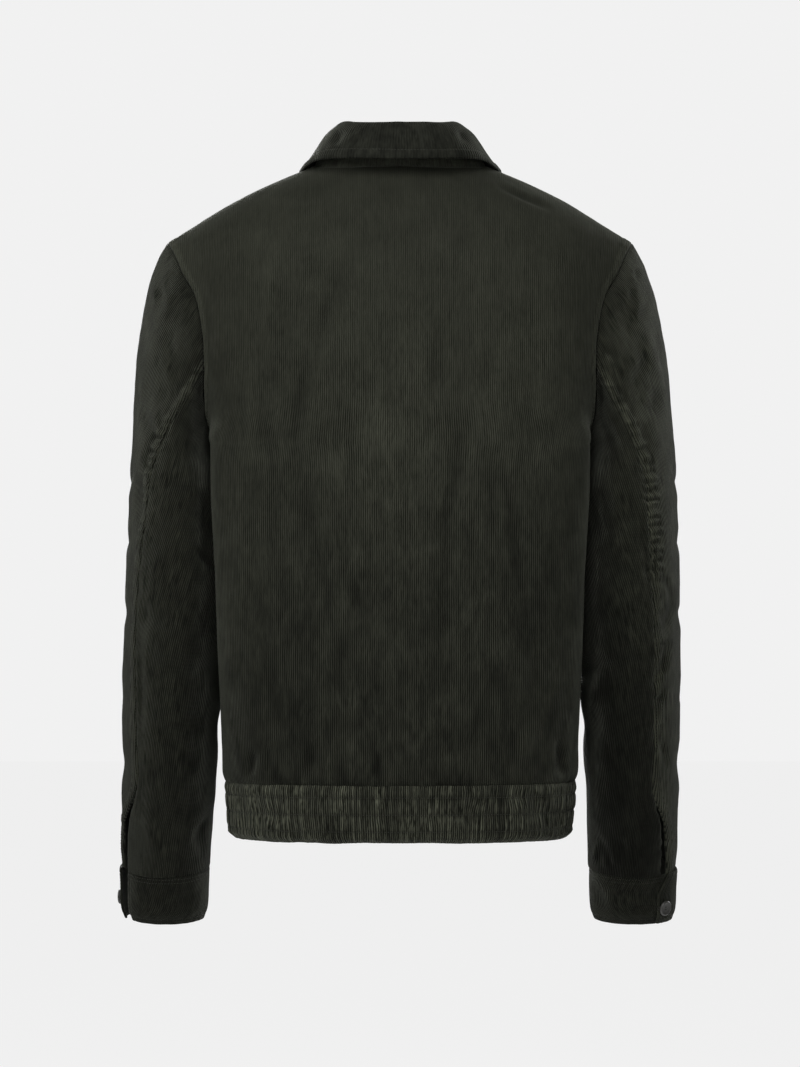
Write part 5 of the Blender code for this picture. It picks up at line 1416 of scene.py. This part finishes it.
def sleeve_cloth(side, top):
    grid = sleeve_shell(side, top)
    name = "top_sleeve_" if top else "under_sleeve_"
    cloth = Cloth(name + side, grid, sleeve_outward, CLOTH)
    cloth.ribs = sleeve_ribs(side, grid, top)
    seed = {"left": 50, "right": 70}[side] + (0 if top else 9)
    sleeve_relief(cloth, side, top, seed)
    border = "left" if top else "right"
    strength = smooth_read(ARM_PUCKER, "z", cloth.base[..., 2], side)
    if top:
        welt(cloth, border)
        for distance in (TOPSTITCH_NEAR, TOPSTITCH_FAR):
            stitch_groove(cloth, border, distance)
        pucker(cloth, border, PUCKER_HEIGHT, PUCKER_STEP, 0.0050, 0.0058, strength, seed)
        draw_rungs(cloth, border, RUNGS[side])
    else:
        pucker(cloth, border, PUCKER_HEIGHT * 0.6, PUCKER_STEP, 0.0020, 0.0050, strength, seed + 4)
        draw_rungs(cloth, border, RUNGS[side], UNDER_RUNG)
    # Painted shade beside the armhole, on the side towards the body, and beside the vent.
    cloth.nap -= ARMHOLE_PAINTED_SHADE * np.exp(-cloth.distance["top"] / ARMHOLE_SHADE_REACH)
    cloth.nap -= INNER_PAINTED_SHADE * soft_step(-cloth.normals[..., 0] / 0.80)
    below = soft_step((VENT_TOP - cloth.base[..., 2]) / 0.012)
    cloth.nap -= VENT_PAINTED_SHADE[side, top] * below * hump(cloth.distance[border], VENT_SHADE_REACH)
    edge = below[:, 0] if top else below[:, -1]
    in_front = soft_step((ARMHOLE_MID_Y - grid[:1, :, 1]) / (ARMHOLE_HALF_Y / 2))
    under = in_front * hump(cloth.distance["top"], UNDER_FRONT_REACH)
    cloth.shift += under[..., None] * np.array(UNDER_FRONT)
    cloth.bulge["top"] = SEAM_CLOSE
    cloth.bulge[border] = mix(SEAM_CLOSE, CLOTH / 2, edge)
    ripple = line_noise(cloth.run[border], 0.0060, seed + 6) * below * np.exp(-cloth.distance[border] / 0.006)
    inwards = np.gradient(grid, axis=1) * (1 if top else -1)
    cloth.shift += unit(inwards) * (ripple * 0.0011)[..., None]
    if side == "right":
        mirror(cloth)
    return cloth


CUFF_COARSE = 0.0026
CUFF_LEVEL = 0.11  # the cuff's lower edge hangs this much more level than the arm's sections
CUFF_LONGER = 0.0022
# painted shade along the end of the left cuff's tab
TAB_PAINTED_SHADE = 0.45


def cuff_cloth(side):
    ends = CUFFS[side]
    share = graded(CUFF_TOP - CUFF_BOTTOM, 0.0025, 0.0008, 0.006)[:, None]
    across = graded(0.26, CUFF_COARSE, 0.0007, 0.007)[None, :]
    cut, inset = (smooth_read(CUFF_ROWS, "share", share, c) for c in ("cut", "inset"))
    angle = mix(mix(ends.tab_top, ends.tab, cut), ends.under, across)
    z = np.broadcast_to(mix(CUFF_TOP, CUFF_BOTTOM, share), angle.shape)
    grid = sleeve_section_point(side, z, angle)
    down = soft_step((angle - ends.tab - CUFF_TAB_REACH) / CUFF_TAB_FADE)
    lift = CUFF_TAB_LIFT * (1 - down) - inset
    away = unit((grid - arm_centre(z)) * np.array((1, 1, 0)))
    grid = grid + away * lift[..., None]
    grid[..., 0] += SLEEVE_CLEARANCE
    grid[..., 2] += share * (CUFF_LEVEL * (grid[..., 1] - arm_centre(z)[..., 1]) - CUFF_LONGER)
    cloth = Cloth("cuff_" + side, grid, sleeve_outward, CUFF_CLOTH)
    # On the left cuff, painted shade along the tab's end.
    if side == "left":
        cloth.nap -= TAB_PAINTED_SHADE * hump(cloth.distance["left"], 0.012)
    cloth.ribs = points(travelled(np.swapaxes(grid, 0, 1)).T, travelled(grid), 0.0)
    tuck(cloth, ("top",))
    for border, distance in (("top", 0.0018), ("top", 0.0056), ("bottom", 0.0046), ("left", 0.0046), ("right", 0.0046)):
        stitch_groove(cloth, border, distance)
    uneven(cloth, 0.0007, 0.022, 90 if side == "left" else 95)
    uneven(cloth, 0.0003, (0.008, 0.008, 0.016), 91)
    pucker(cloth, "top", 0.0003, 0.0060, 0.004, 0.006, seed=92)
    pucker(cloth, "bottom", 0.0003, 0.0070, 0.003, 0.006, seed=93)
    if side == "right":
        tab = crease_relief([Crease(0.192, -0.702, 0.200, -0.722, 0.001, 0.005, 0.0014)], grid[..., 0], z)
        crease(cloth, tab * facing(cloth.normals)["back"])
    for border in ("bottom", "left", "right"):
        cloth.bulge[border] = CUFF_CLOTH / 2
    if side == "right":
        mirror(cloth)
    return cloth


# ---------------------------------------------------------------- waistband
def band_outward(at):
    return points(at[..., 0], at[..., 1] * 2, 0.0)


def even_band_columns(face, step):
    columns = np.linspace(0, 1, 1001)
    walked = travelled(band_point(face, np.zeros(columns.shape), columns))
    return np.interp(np.linspace(0, walked[-1], int(walked[-1] / step) + 1), walked, columns)


def gather_wave(along, seed):
    """Ridges of uneven width and height, from 0 to 1, that run across the band."""
    draw = np.random.default_rng(seed)
    widths = draw.choice((0.0030, 0.0038, 0.0048, 0.0060, 0.0078), 400) * draw.uniform(0.9, 1.1, 400)
    edges = np.concatenate([[0], np.cumsum(widths)])
    phase = np.interp(along, edges, np.arange(len(edges)))
    heights = draw.uniform(0.35, 1.25, 401)
    height = heights[np.clip(np.floor(phase + 0.5).astype(int), 0, 400)]
    return height * (0.5 + 0.5 * np.cos(2 * np.pi * phase)) ** 0.8


def band_share(thickness_step):
    return graded(BAND_TOP - BAND_BOTTOM, thickness_step, 0.0009, 0.004)


def band_back_cloth():
    share = band_share(0.0023)
    half = even_band_columns("back", 0.00125)
    left = band_point("back", share[:, None], half[None, :])
    grid = np.concatenate([left[:, :0:-1] * np.array((-1, 1, 1)), left], axis=1)
    cloth = Cloth("waistband_back", grid, band_outward, BAND_CLOTH)
    along = cloth.run["top"]
    down = np.broadcast_to(share[:, None], along.shape)
    middle = grid[..., 0]
    slant = 0.10 * soft_step((-middle - 0.10) / 0.06) * (down - 0.5) * 0.05
    wander = 0.0016 * soft_noise(points(along, down * 0.03, 0), (0.022, 0.010, 1.0), 5)
    height = np.zeros(along.shape)
    for tier, (low, high) in enumerate(zip((-0.1,) + BAND_STITCH_SHARES, BAND_STITCH_SHARES + (1.2,))):
        inside = soft_step((down - low) / 0.06 + 0.5) * (1 - soft_step((down - high) / 0.06 + 0.5))
        steady = 0.7 * gather_wave(along + wander + slant, 3) + 0.3 * gather_wave(along + wander, 20 + tier)
        height += inside * steady
    pinch = np.min([1 - 0.68 * hump(down - row, 0.035) for row in BAND_STITCH_SHARES], axis=0)
    end = cloth.run["top"] / cloth.run["top"].max()
    fade = soft_step(end / GATHER_FADE) * soft_step((1 - end) / GATHER_FADE)
    straight = 1 - 0.9 * soft_step((down - 0.84) / 0.12)  # the lower edge is folded, so it hangs level
    level_top = mix(0.15, 1.0, soft_step(down / 0.10))
    cloth.relief += 0.0027 * height * pinch * fade * straight * level_top
    bright = 0.5 * soft_noise(points(along, down * 0.02, 0), (0.012, 0.012, 1.0), 8)
    # The gathers' ridges are painted lighter and their troughs darker, as painted light and shade; bright is a random
    # tone.
    cloth.nap = np.maximum(0.25, cloth.nap + (1.5 * height * pinch - 0.50 + bright) * fade)
    uneven(cloth, 0.0008, (0.030, 0.030, 0.020), 61)
    uneven(cloth, 0.0003, (0.009, 0.009, 0.012), 62)
    tuck(cloth, ("top", "left", "right"))
    cloth.bulge["top"], cloth.bulge["bottom"] = SEAM_CLOSE, BAND_CLOTH / 2
    cloth.ribs = points(along + 2 * wander, travelled(grid), 0.0)
    return cloth


def band_front_cloth(side):
    share = band_share(0.0024)
    plain = even_band_columns("front", 0.0026)
    lap = math.degrees(math.asin((FRONT_LAP / BODY[0].half_width) ** (1 / SQUARENESS))) / 90
    columns = np.concatenate([np.linspace(-lap, lap, 17)[:-1], lap + (1 - lap) * plain])
    grid = band_point("front", share[:, None], np.abs(columns)[None, :])
    grid[..., 0] = np.copysign(grid[..., 0], np.broadcast_to(columns, grid.shape[:2]))
    cloth = Cloth("waistband_front_" + side, grid, band_outward, BAND_CLOTH)
    if side == "left":
        cloth.relief += (BAND_CLOTH + LAP_GAP) * (1 - soft_step((grid[..., 0] - FRONT_LAP) / LAP_RAMP))
    for border in ("top", "bottom", "left"):
        stitch_groove(cloth, border, EDGE_STITCH)
    uneven(cloth, 0.0008, (0.026, 0.026, 0.030), 66)
    uneven(cloth, 0.0003, (0.009, 0.009, 0.014), 67)
    tuck(cloth, ("top", "right"))
    cloth.bulge["top"] = SEAM_CLOSE
    for border in ("bottom", "left"):
        cloth.bulge[border] = BAND_CLOTH / 2
    cloth.ribs = points(cloth.run["top"], travelled(grid), 0.0)
    if side == "right":
        mirror(cloth)
    return cloth


# ---------------------------------------------------------------- collar
def collar_outward(at):
    return points(at[..., 0], at[..., 1], 0.02)


def collar_angles(count):
    last = COLLAR[-1].angle
    return np.linspace(-last, last, count)


def on_side(at, angle):
    at[..., 0] = np.where(np.abs(angle) < 1e-9, 0.0, np.copysign(at[..., 0], angle))
    return at


NECK_SEAM_OVERLAP = 0.0014  # the stand's lower edge goes down into the neck seam
COLLAR_CORNER = 0.0034  # the fold stands up where it turns at the back's corners
COLLAR_DROP = 0.0064  # the leaf comes down on to the shoulder at the side of the neck
COLLAR_SLIM = 0.0030  # and lies flatter there
COLLAR_EDGE_SEAM = 0.0082  # the seam allowance inside the leaf ends this far from its edge


def collar_corner(angle):
    return COLLAR_CORNER * hump(np.abs(angle) - 56, 15)


def collar_stand_cloth():
    angle = collar_angles(161)
    seam, fold = neckline_point(np.abs(angle)), collar_read(np.abs(angle), "fold")
    share = graded(0.038, 0.0026, 0.0009, 0.004)[:, None]
    grid = on_side(mix(seam[None], fold[None], share[..., None]), angle[None, :])
    grid[..., 2] += collar_corner(angle)[None, :] * share**2 - NECK_SEAM_OVERLAP * (1 - share)
    cloth = Cloth("collar_stand", grid, collar_outward, CLOTH)
    cloth.ribs = points(cloth.run["top"], travelled(grid), 0.0)
    tuck(cloth, ("top",), 0.0005)
    stitch_groove(cloth, "top", 0.0018)
    uneven(cloth, 0.0003, (0.012, 0.012, 0.012), 81)
    for border in ("left", "right"):
        cloth.bulge[border] = CLOTH / 2
    return cloth


def collar_fall_cloth():
    angle = collar_angles(221)
    share = graded(0.050, 0.0019, 0.0009, 0.011)[:, None]
    grid = on_side(collar_fall_point(*np.broadcast_arrays(angle[None, :], share)), angle[None, :])
    around = np.abs(angle)[None, :]
    grid[..., 2] += collar_corner(angle)[None, :] * (1 - soft_step(share / 0.45))
    grid[..., 2] -= COLLAR_DROP * hump(around - 79, 19) * soft_step((share - 0.4) / 0.6)
    grid[..., 0] -= np.sign(angle)[None, :] * COLLAR_SLIM * hump(around - 78, 24) * np.sin(np.pi * share)
    cloth = Cloth("collar_fall", grid, collar_outward, CLOTH)
    cloth.ribs = points(cloth.run["top"], travelled(grid), 0.0)
    edge = cloth.distance["bottom"]
    cloth.relief += 0.0008 * (1 - soft_step((edge - COLLAR_EDGE_SEAM + 0.001) / 0.0022)) * soft_step(edge / 0.002)
    stitch_groove(cloth, "bottom", COLLAR_EDGE_SEAM + 0.0006, 1.4)
    pucker(cloth, "bottom", 0.0004, 0.0075, COLLAR_EDGE_SEAM, 0.004, seed=84)
    uneven(cloth, 0.0006, (0.030, 0.030, 0.018), 85)
    uneven(cloth, 0.00025, (0.009, 0.009, 0.007), 86)
    corners = [Crease(0.056, 0.032, 0.064, 0.016, 0.0, 0.005, 0.0018),
               Crease(-0.058, 0.034, -0.064, 0.018, 0.0, 0.005, 0.0014)]
    crease(cloth, crease_relief(corners, grid[..., 0], grid[..., 2]) * soft_step(grid[..., 1] / 0.02))
    for border in BORDERS:
        cloth.bulge[border] = CLOTH / 2
    return cloth


# ---------------------------------------------------------------- buttons
ButtonPoint = namedtuple("ButtonPoint", "radius height")
BUTTON_PROFILE = [
    ButtonPoint(0.00, 0.00), ButtonPoint(0.80, 0.00), ButtonPoint(0.90, 0.10), ButtonPoint(0.99, 0.38),
    ButtonPoint(1.00, 0.52), ButtonPoint(0.97, 0.82), ButtonPoint(0.91, 0.97), ButtonPoint(0.84, 1.00),
    ButtonPoint(0.77, 0.93), ButtonPoint(0.70, 0.72), ButtonPoint(0.62, 0.64), ButtonPoint(0.30, 0.60),
    ButtonPoint(0.00, 0.60),
]
BUTTON_SIDES = 48
HOLE_RADIUS, HOLE_OUT, HOLE_SIDES = 0.00085, 0.0016, 16


def button_frame(node):
    """Centre of a button's back, and its axis, read from the solid's own points."""
    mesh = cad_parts[node].data
    places = np.empty(len(mesh.vertices) * 3)
    mesh.vertices.foreach_get("co", places)
    places = places.reshape(-1, 3)
    middle = places.mean(axis=0)
    axis = np.linalg.svd(places - middle)[2][-1]
    outward = middle - np.array((arm_x_of(node), -0.06 if "cuff" in node else 0.0, middle[2]))
    axis = axis if axis @ outward > 0 else -axis
    low = ((places - middle) @ axis).min()
    return middle + axis * low, axis


def arm_x_of(node):
    if node.startswith("button_cuff"):
        return SLEEVE[-1].centre_x * (1 if node.endswith("left") else -1)
    return 0.0


def button_piece(node, material, hole_material):
    base, axis = button_frame(node)
    side = unit(np.cross(axis, (0.0, 0.0, 1.0)))
    up = np.cross(side, axis)
    turns = np.arange(BUTTON_SIDES) * 2 * np.pi / BUTTON_SIDES
    ring = np.cos(turns)[:, None] * side + np.sin(turns)[:, None] * up
    vertices, rings = [], []
    for at in BUTTON_PROFILE:
        height = axis * (at.height * BUTTON_THICK)
        if at.radius == 0:
            rings.append(np.full(BUTTON_SIDES, len(vertices)))
            vertices.append(base + height)
        else:
            rings.append(np.arange(BUTTON_SIDES) + len(vertices))
            vertices.extend(base + height + ring * (at.radius * BUTTON_RADIUS))
    quads = []
    for low, high in zip(rings, rings[1:]):
        for k in range(BUTTON_SIDES):
            j = (k + 1) % BUTTON_SIDES
            if low[k] == low[j]:
                quads.append((low[k], high[k], high[j], high[j]))
            elif high[k] == high[j]:
                quads.append((low[k], high[k], low[j], low[j]))
            else:
                quads.append((low[k], high[k], high[j], low[j]))
    piece = add_mesh(node + "_turned", np.array(vertices), np.array(quads), [material])
    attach(piece, "root")
    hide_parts(node)
    return base, axis, side, up


# ---------------------------------------------------------------- stage
CAMERA_DISTANCE, CAMERA_HEIGHT = 3.6, -0.358
PHOTO_SPAN = 1.0457  # what the photograph's height spans at the jacket's middle plane
SENSOR = 36.0
FLOOR_Z, FLOOR_HALF, FLOOR_GLOW = -1.45, 14.0, 0.85
BACKGROUND = 0.88
SKY_ABOVE, SKY_BELOW = 0.10, 0.02
Lamp = namedtuple("Lamp", "name place target size watts")
LAMPS = [
    Lamp("key", (2.4, 2.0, 1.2), (0, 0, -0.3), 1.4, 38.0),
    Lamp("near", (0.0, 1.6, 0.2), (0, 0, -0.35), 1.0, 8.5),
    Lamp("near_high", (0.0, 1.1, 0.9), (0, 0, -0.25), 0.8, 12.0),
    Lamp("front", (0.3, -2.4, 0.3), (0, 0, -0.35), 1.2, 66.0),
    Lamp("front_left", (2.2, -2.2, 0.3), (0, 0, -0.3), 1.4, 17.0),
    Lamp("front_right", (-2.2, -2.2, 0.3), (0, 0, -0.3), 1.4, 30.0),
]


def studio_world():
    """A plain pale surround. What it sheds on the jacket comes mostly from above."""
    world = bpy.data.worlds.new("studio")
    world.use_nodes = True
    nodes, links = world.node_tree.nodes, world.node_tree.links
    shown = nodes["Background"]
    shown.inputs["Color"].default_value = (BACKGROUND, BACKGROUND, BACKGROUND, 1)
    split = nodes.new("ShaderNodeSeparateXYZ")
    links.new(nodes.new("ShaderNodeTexCoord").outputs["Generated"], split.inputs[0])
    height = nodes.new("ShaderNodeMapRange")
    for name, value in (("From Min", -0.3), ("From Max", 1.0), ("To Min", SKY_BELOW), ("To Max", SKY_ABOVE)):
        height.inputs[name].default_value = value
    links.new(split.outputs[2], height.inputs["Value"])
    shed = nodes.new("ShaderNodeBackground")
    links.new(height.outputs["Result"], shed.inputs["Strength"])
    path, either = nodes.new("ShaderNodeLightPath"), nodes.new("ShaderNodeMixShader")
    links.new(path.outputs["Is Camera Ray"], either.inputs[0])
    links.new(shed.outputs[0], either.inputs[1])
    links.new(shown.outputs[0], either.inputs[2])
    links.new(either.outputs[0], nodes["World Output"].inputs["Surface"])
    return world


def stage():
    scene = bpy.context.scene
    scene.view_settings.view_transform = "Standard"
    scene.view_settings.look = "None"
    scene.world = studio_world()

    camera = bpy.data.objects.new("camera", bpy.data.cameras.new("camera"))
    camera.data.sensor_width = SENSOR
    camera.data.lens = SENSOR * CAMERA_DISTANCE / PHOTO_SPAN
    camera.location = (0, CAMERA_DISTANCE, CAMERA_HEIGHT)
    camera.rotation_euler = (math.radians(90), 0, math.radians(180))
    scene.collection.objects.link(camera)
    scene.camera = camera

    corners = [(-FLOOR_HALF, -FLOOR_HALF), (FLOOR_HALF, -FLOOR_HALF), (FLOOR_HALF, FLOOR_HALF), (-FLOOR_HALF, FLOOR_HALF)]
    floor = add_mesh("floor", [(x, y, FLOOR_Z) for x, y in corners], [(0, 1, 2, 3)], [floor_material()])

    for lamp in LAMPS:
        data = bpy.data.lights.new(lamp.name, "AREA")
        data.shape, data.size, data.energy = "SQUARE", lamp.size, lamp.watts
        body = bpy.data.objects.new(lamp.name, data)
        body.visible_camera = False
        body.location = lamp.place
        body.rotation_mode = "QUATERNION"
        body.rotation_quaternion = (Vector(lamp.target) - Vector(lamp.place)).to_track_quat("-Z", "Y")
        scene.collection.objects.link(body)


# ---------------------------------------------------------------- putting it together
def seam_runs(cloth, border, distances, **kind):
    return [stitch_run(*cloth.line(border, distance), **kind) for distance in distances]


def button_sewing(base, axis, side, up):
    """Holes' threads: two short bars across the middle."""
    face = base + axis * (BUTTON_THICK * 0.62)
    bars = []
    for sign in (-1, 1):
        centre = face + up * (sign * HOLE_OUT * 0.7)
        bars.append((centre[None], side[None], axis[None], HOLE_OUT * 2.2, 0.00042))
    return bars


def buttonhole(base, axis, along, across, cloth_gap=0.0004):
    """Dense stitches round a slit a little longer than the button."""
    half = BUTTON_RADIUS * 1.28
    runs = []
    at = np.arange(-half, half, 0.00062)
    for sign in (-1, 1):
        centres = base + along * at[:, None] + across * (sign * 0.0010) - axis * (cloth_gap * 0.6)
        count = len(centres)
        runs.append((centres, np.repeat(across[None], count, 0), np.repeat(axis[None], count, 0), 0.0019, 0.00030))
    for sign in (-1, 1):
        centres = base + along * (sign * half) + across * np.linspace(-0.0012, 0.0012, 4)[:, None]
        centres = centres - axis * (cloth_gap * 0.6)
        runs.append((centres, np.repeat(along[None], 4, 0), np.repeat(axis[None], 4, 0), 0.0018, 0.00030))
    return runs


def main():
    stage()
    # groove is the painted shade between the ribs, far darker than the crest.
    groove, crest = (0.0036, 0.0039, 0.0024), (0.0340, 0.0356, 0.0262)
    cord = corduroy("corduroy_fine", groove, crest, 1.60, 0.90, 0.010)
    sleeve = corduroy("corduroy_sleeve", groove, (0.0340, 0.0357, 0.0256), 1.90, 3.00, 0.017)
    trim = corduroy("corduroy_trim_fine", groove, (0.0340, 0.0357, 0.0259), 1.35, 2.20, 0.009)
    brushed = corduroy("corduroy_brushed", (0.0060, 0.0064, 0.0045), (0.0310, 0.0325, 0.0250), 0.30, 1.60, 0.008)
    inside, thread, horn = cloth_inside("corduroy_back"), thread_material(), button_material()

    back, levels = back_cloth()
    fronts = {side: front_cloth(side)[0] for side in ("left", "right")}
    sleeves = {(side, top): sleeve_cloth(side, top) for side in ("left", "right") for top in (True, False)}
    cuffs = {side: cuff_cloth(side) for side in ("left", "right")}
    band_back = band_back_cloth()
    band_fronts = {side: band_front_cloth(side) for side in ("left", "right")}
    stand, fall = collar_stand_cloth(), collar_fall_cloth()

    body = [back, *fronts.values(), *sleeves.values()]
    trims = [*cuffs.values(), band_back, *band_fronts.values(), stand, fall]
    for cloth in body + trims:
        is_body = cloth in body
        outside = brushed if cloth in (stand, fall) else cord if is_body else trim
        outside = sleeve if "sleeve" in cloth.node else outside
        piece = cloth_piece(cloth, outside, inside)

    armpit = float(np.interp(-1.06, -levels, np.linspace(0, 1, len(levels))))
    runs = []
    for border in ("left", "right"):
        runs += seam_runs(back, border, (TOPSTITCH_NEAR, TOPSTITCH_FAR), last=armpit)
    for front in fronts.values():
        runs += seam_runs(front, "right", (TOPSTITCH_NEAR, TOPSTITCH_FAR), last=armpit)
        runs += seam_runs(front, "left", (EDGE_STITCH, PLACKET_STITCH))
    stitch_mesh("body_stitches", runs, thread)

    runs = []
    for side in ("left", "right"):
        runs += seam_runs(sleeves[side, True], "left", (TOPSTITCH_NEAR, TOPSTITCH_FAR))
        runs += seam_runs(cuffs[side], "top", (0.0018, 0.0056))
        runs += seam_runs(cuffs[side], "bottom", (0.0046,))
        runs += seam_runs(cuffs[side], "left", (0.0046,))
    stitch_mesh("sleeve_stitches", runs, thread)

    height = BAND_TOP - BAND_BOTTOM
    runs = seam_runs(band_back, "top", [share * height for share in BAND_STITCH_SHARES])
    for band in band_fronts.values():
        runs += seam_runs(band, "top", (EDGE_STITCH,)) + seam_runs(band, "bottom", (EDGE_STITCH,))
        runs += seam_runs(band, "left", (EDGE_STITCH,))
    runs += seam_runs(fall, "bottom", (COLLAR_EDGE_SEAM + 0.0006,))
    runs += seam_runs(stand, "top", (0.0018,))
    stitch_mesh("trim_stitches", runs, thread)

    sewing = []
    buttons = [f"button_front_{k}" for k in range(1, 7)] + ["button_waistband", "button_cuff_left", "button_cuff_right"]
    for node in buttons:
        base, axis, side, up = button_piece(node, horn, inside)
        sewing += button_sewing(base, axis, side, up)
        sewing += buttonhole(base, axis, side, up)
    stitch_mesh("button_sewing", sewing, thread)


main()
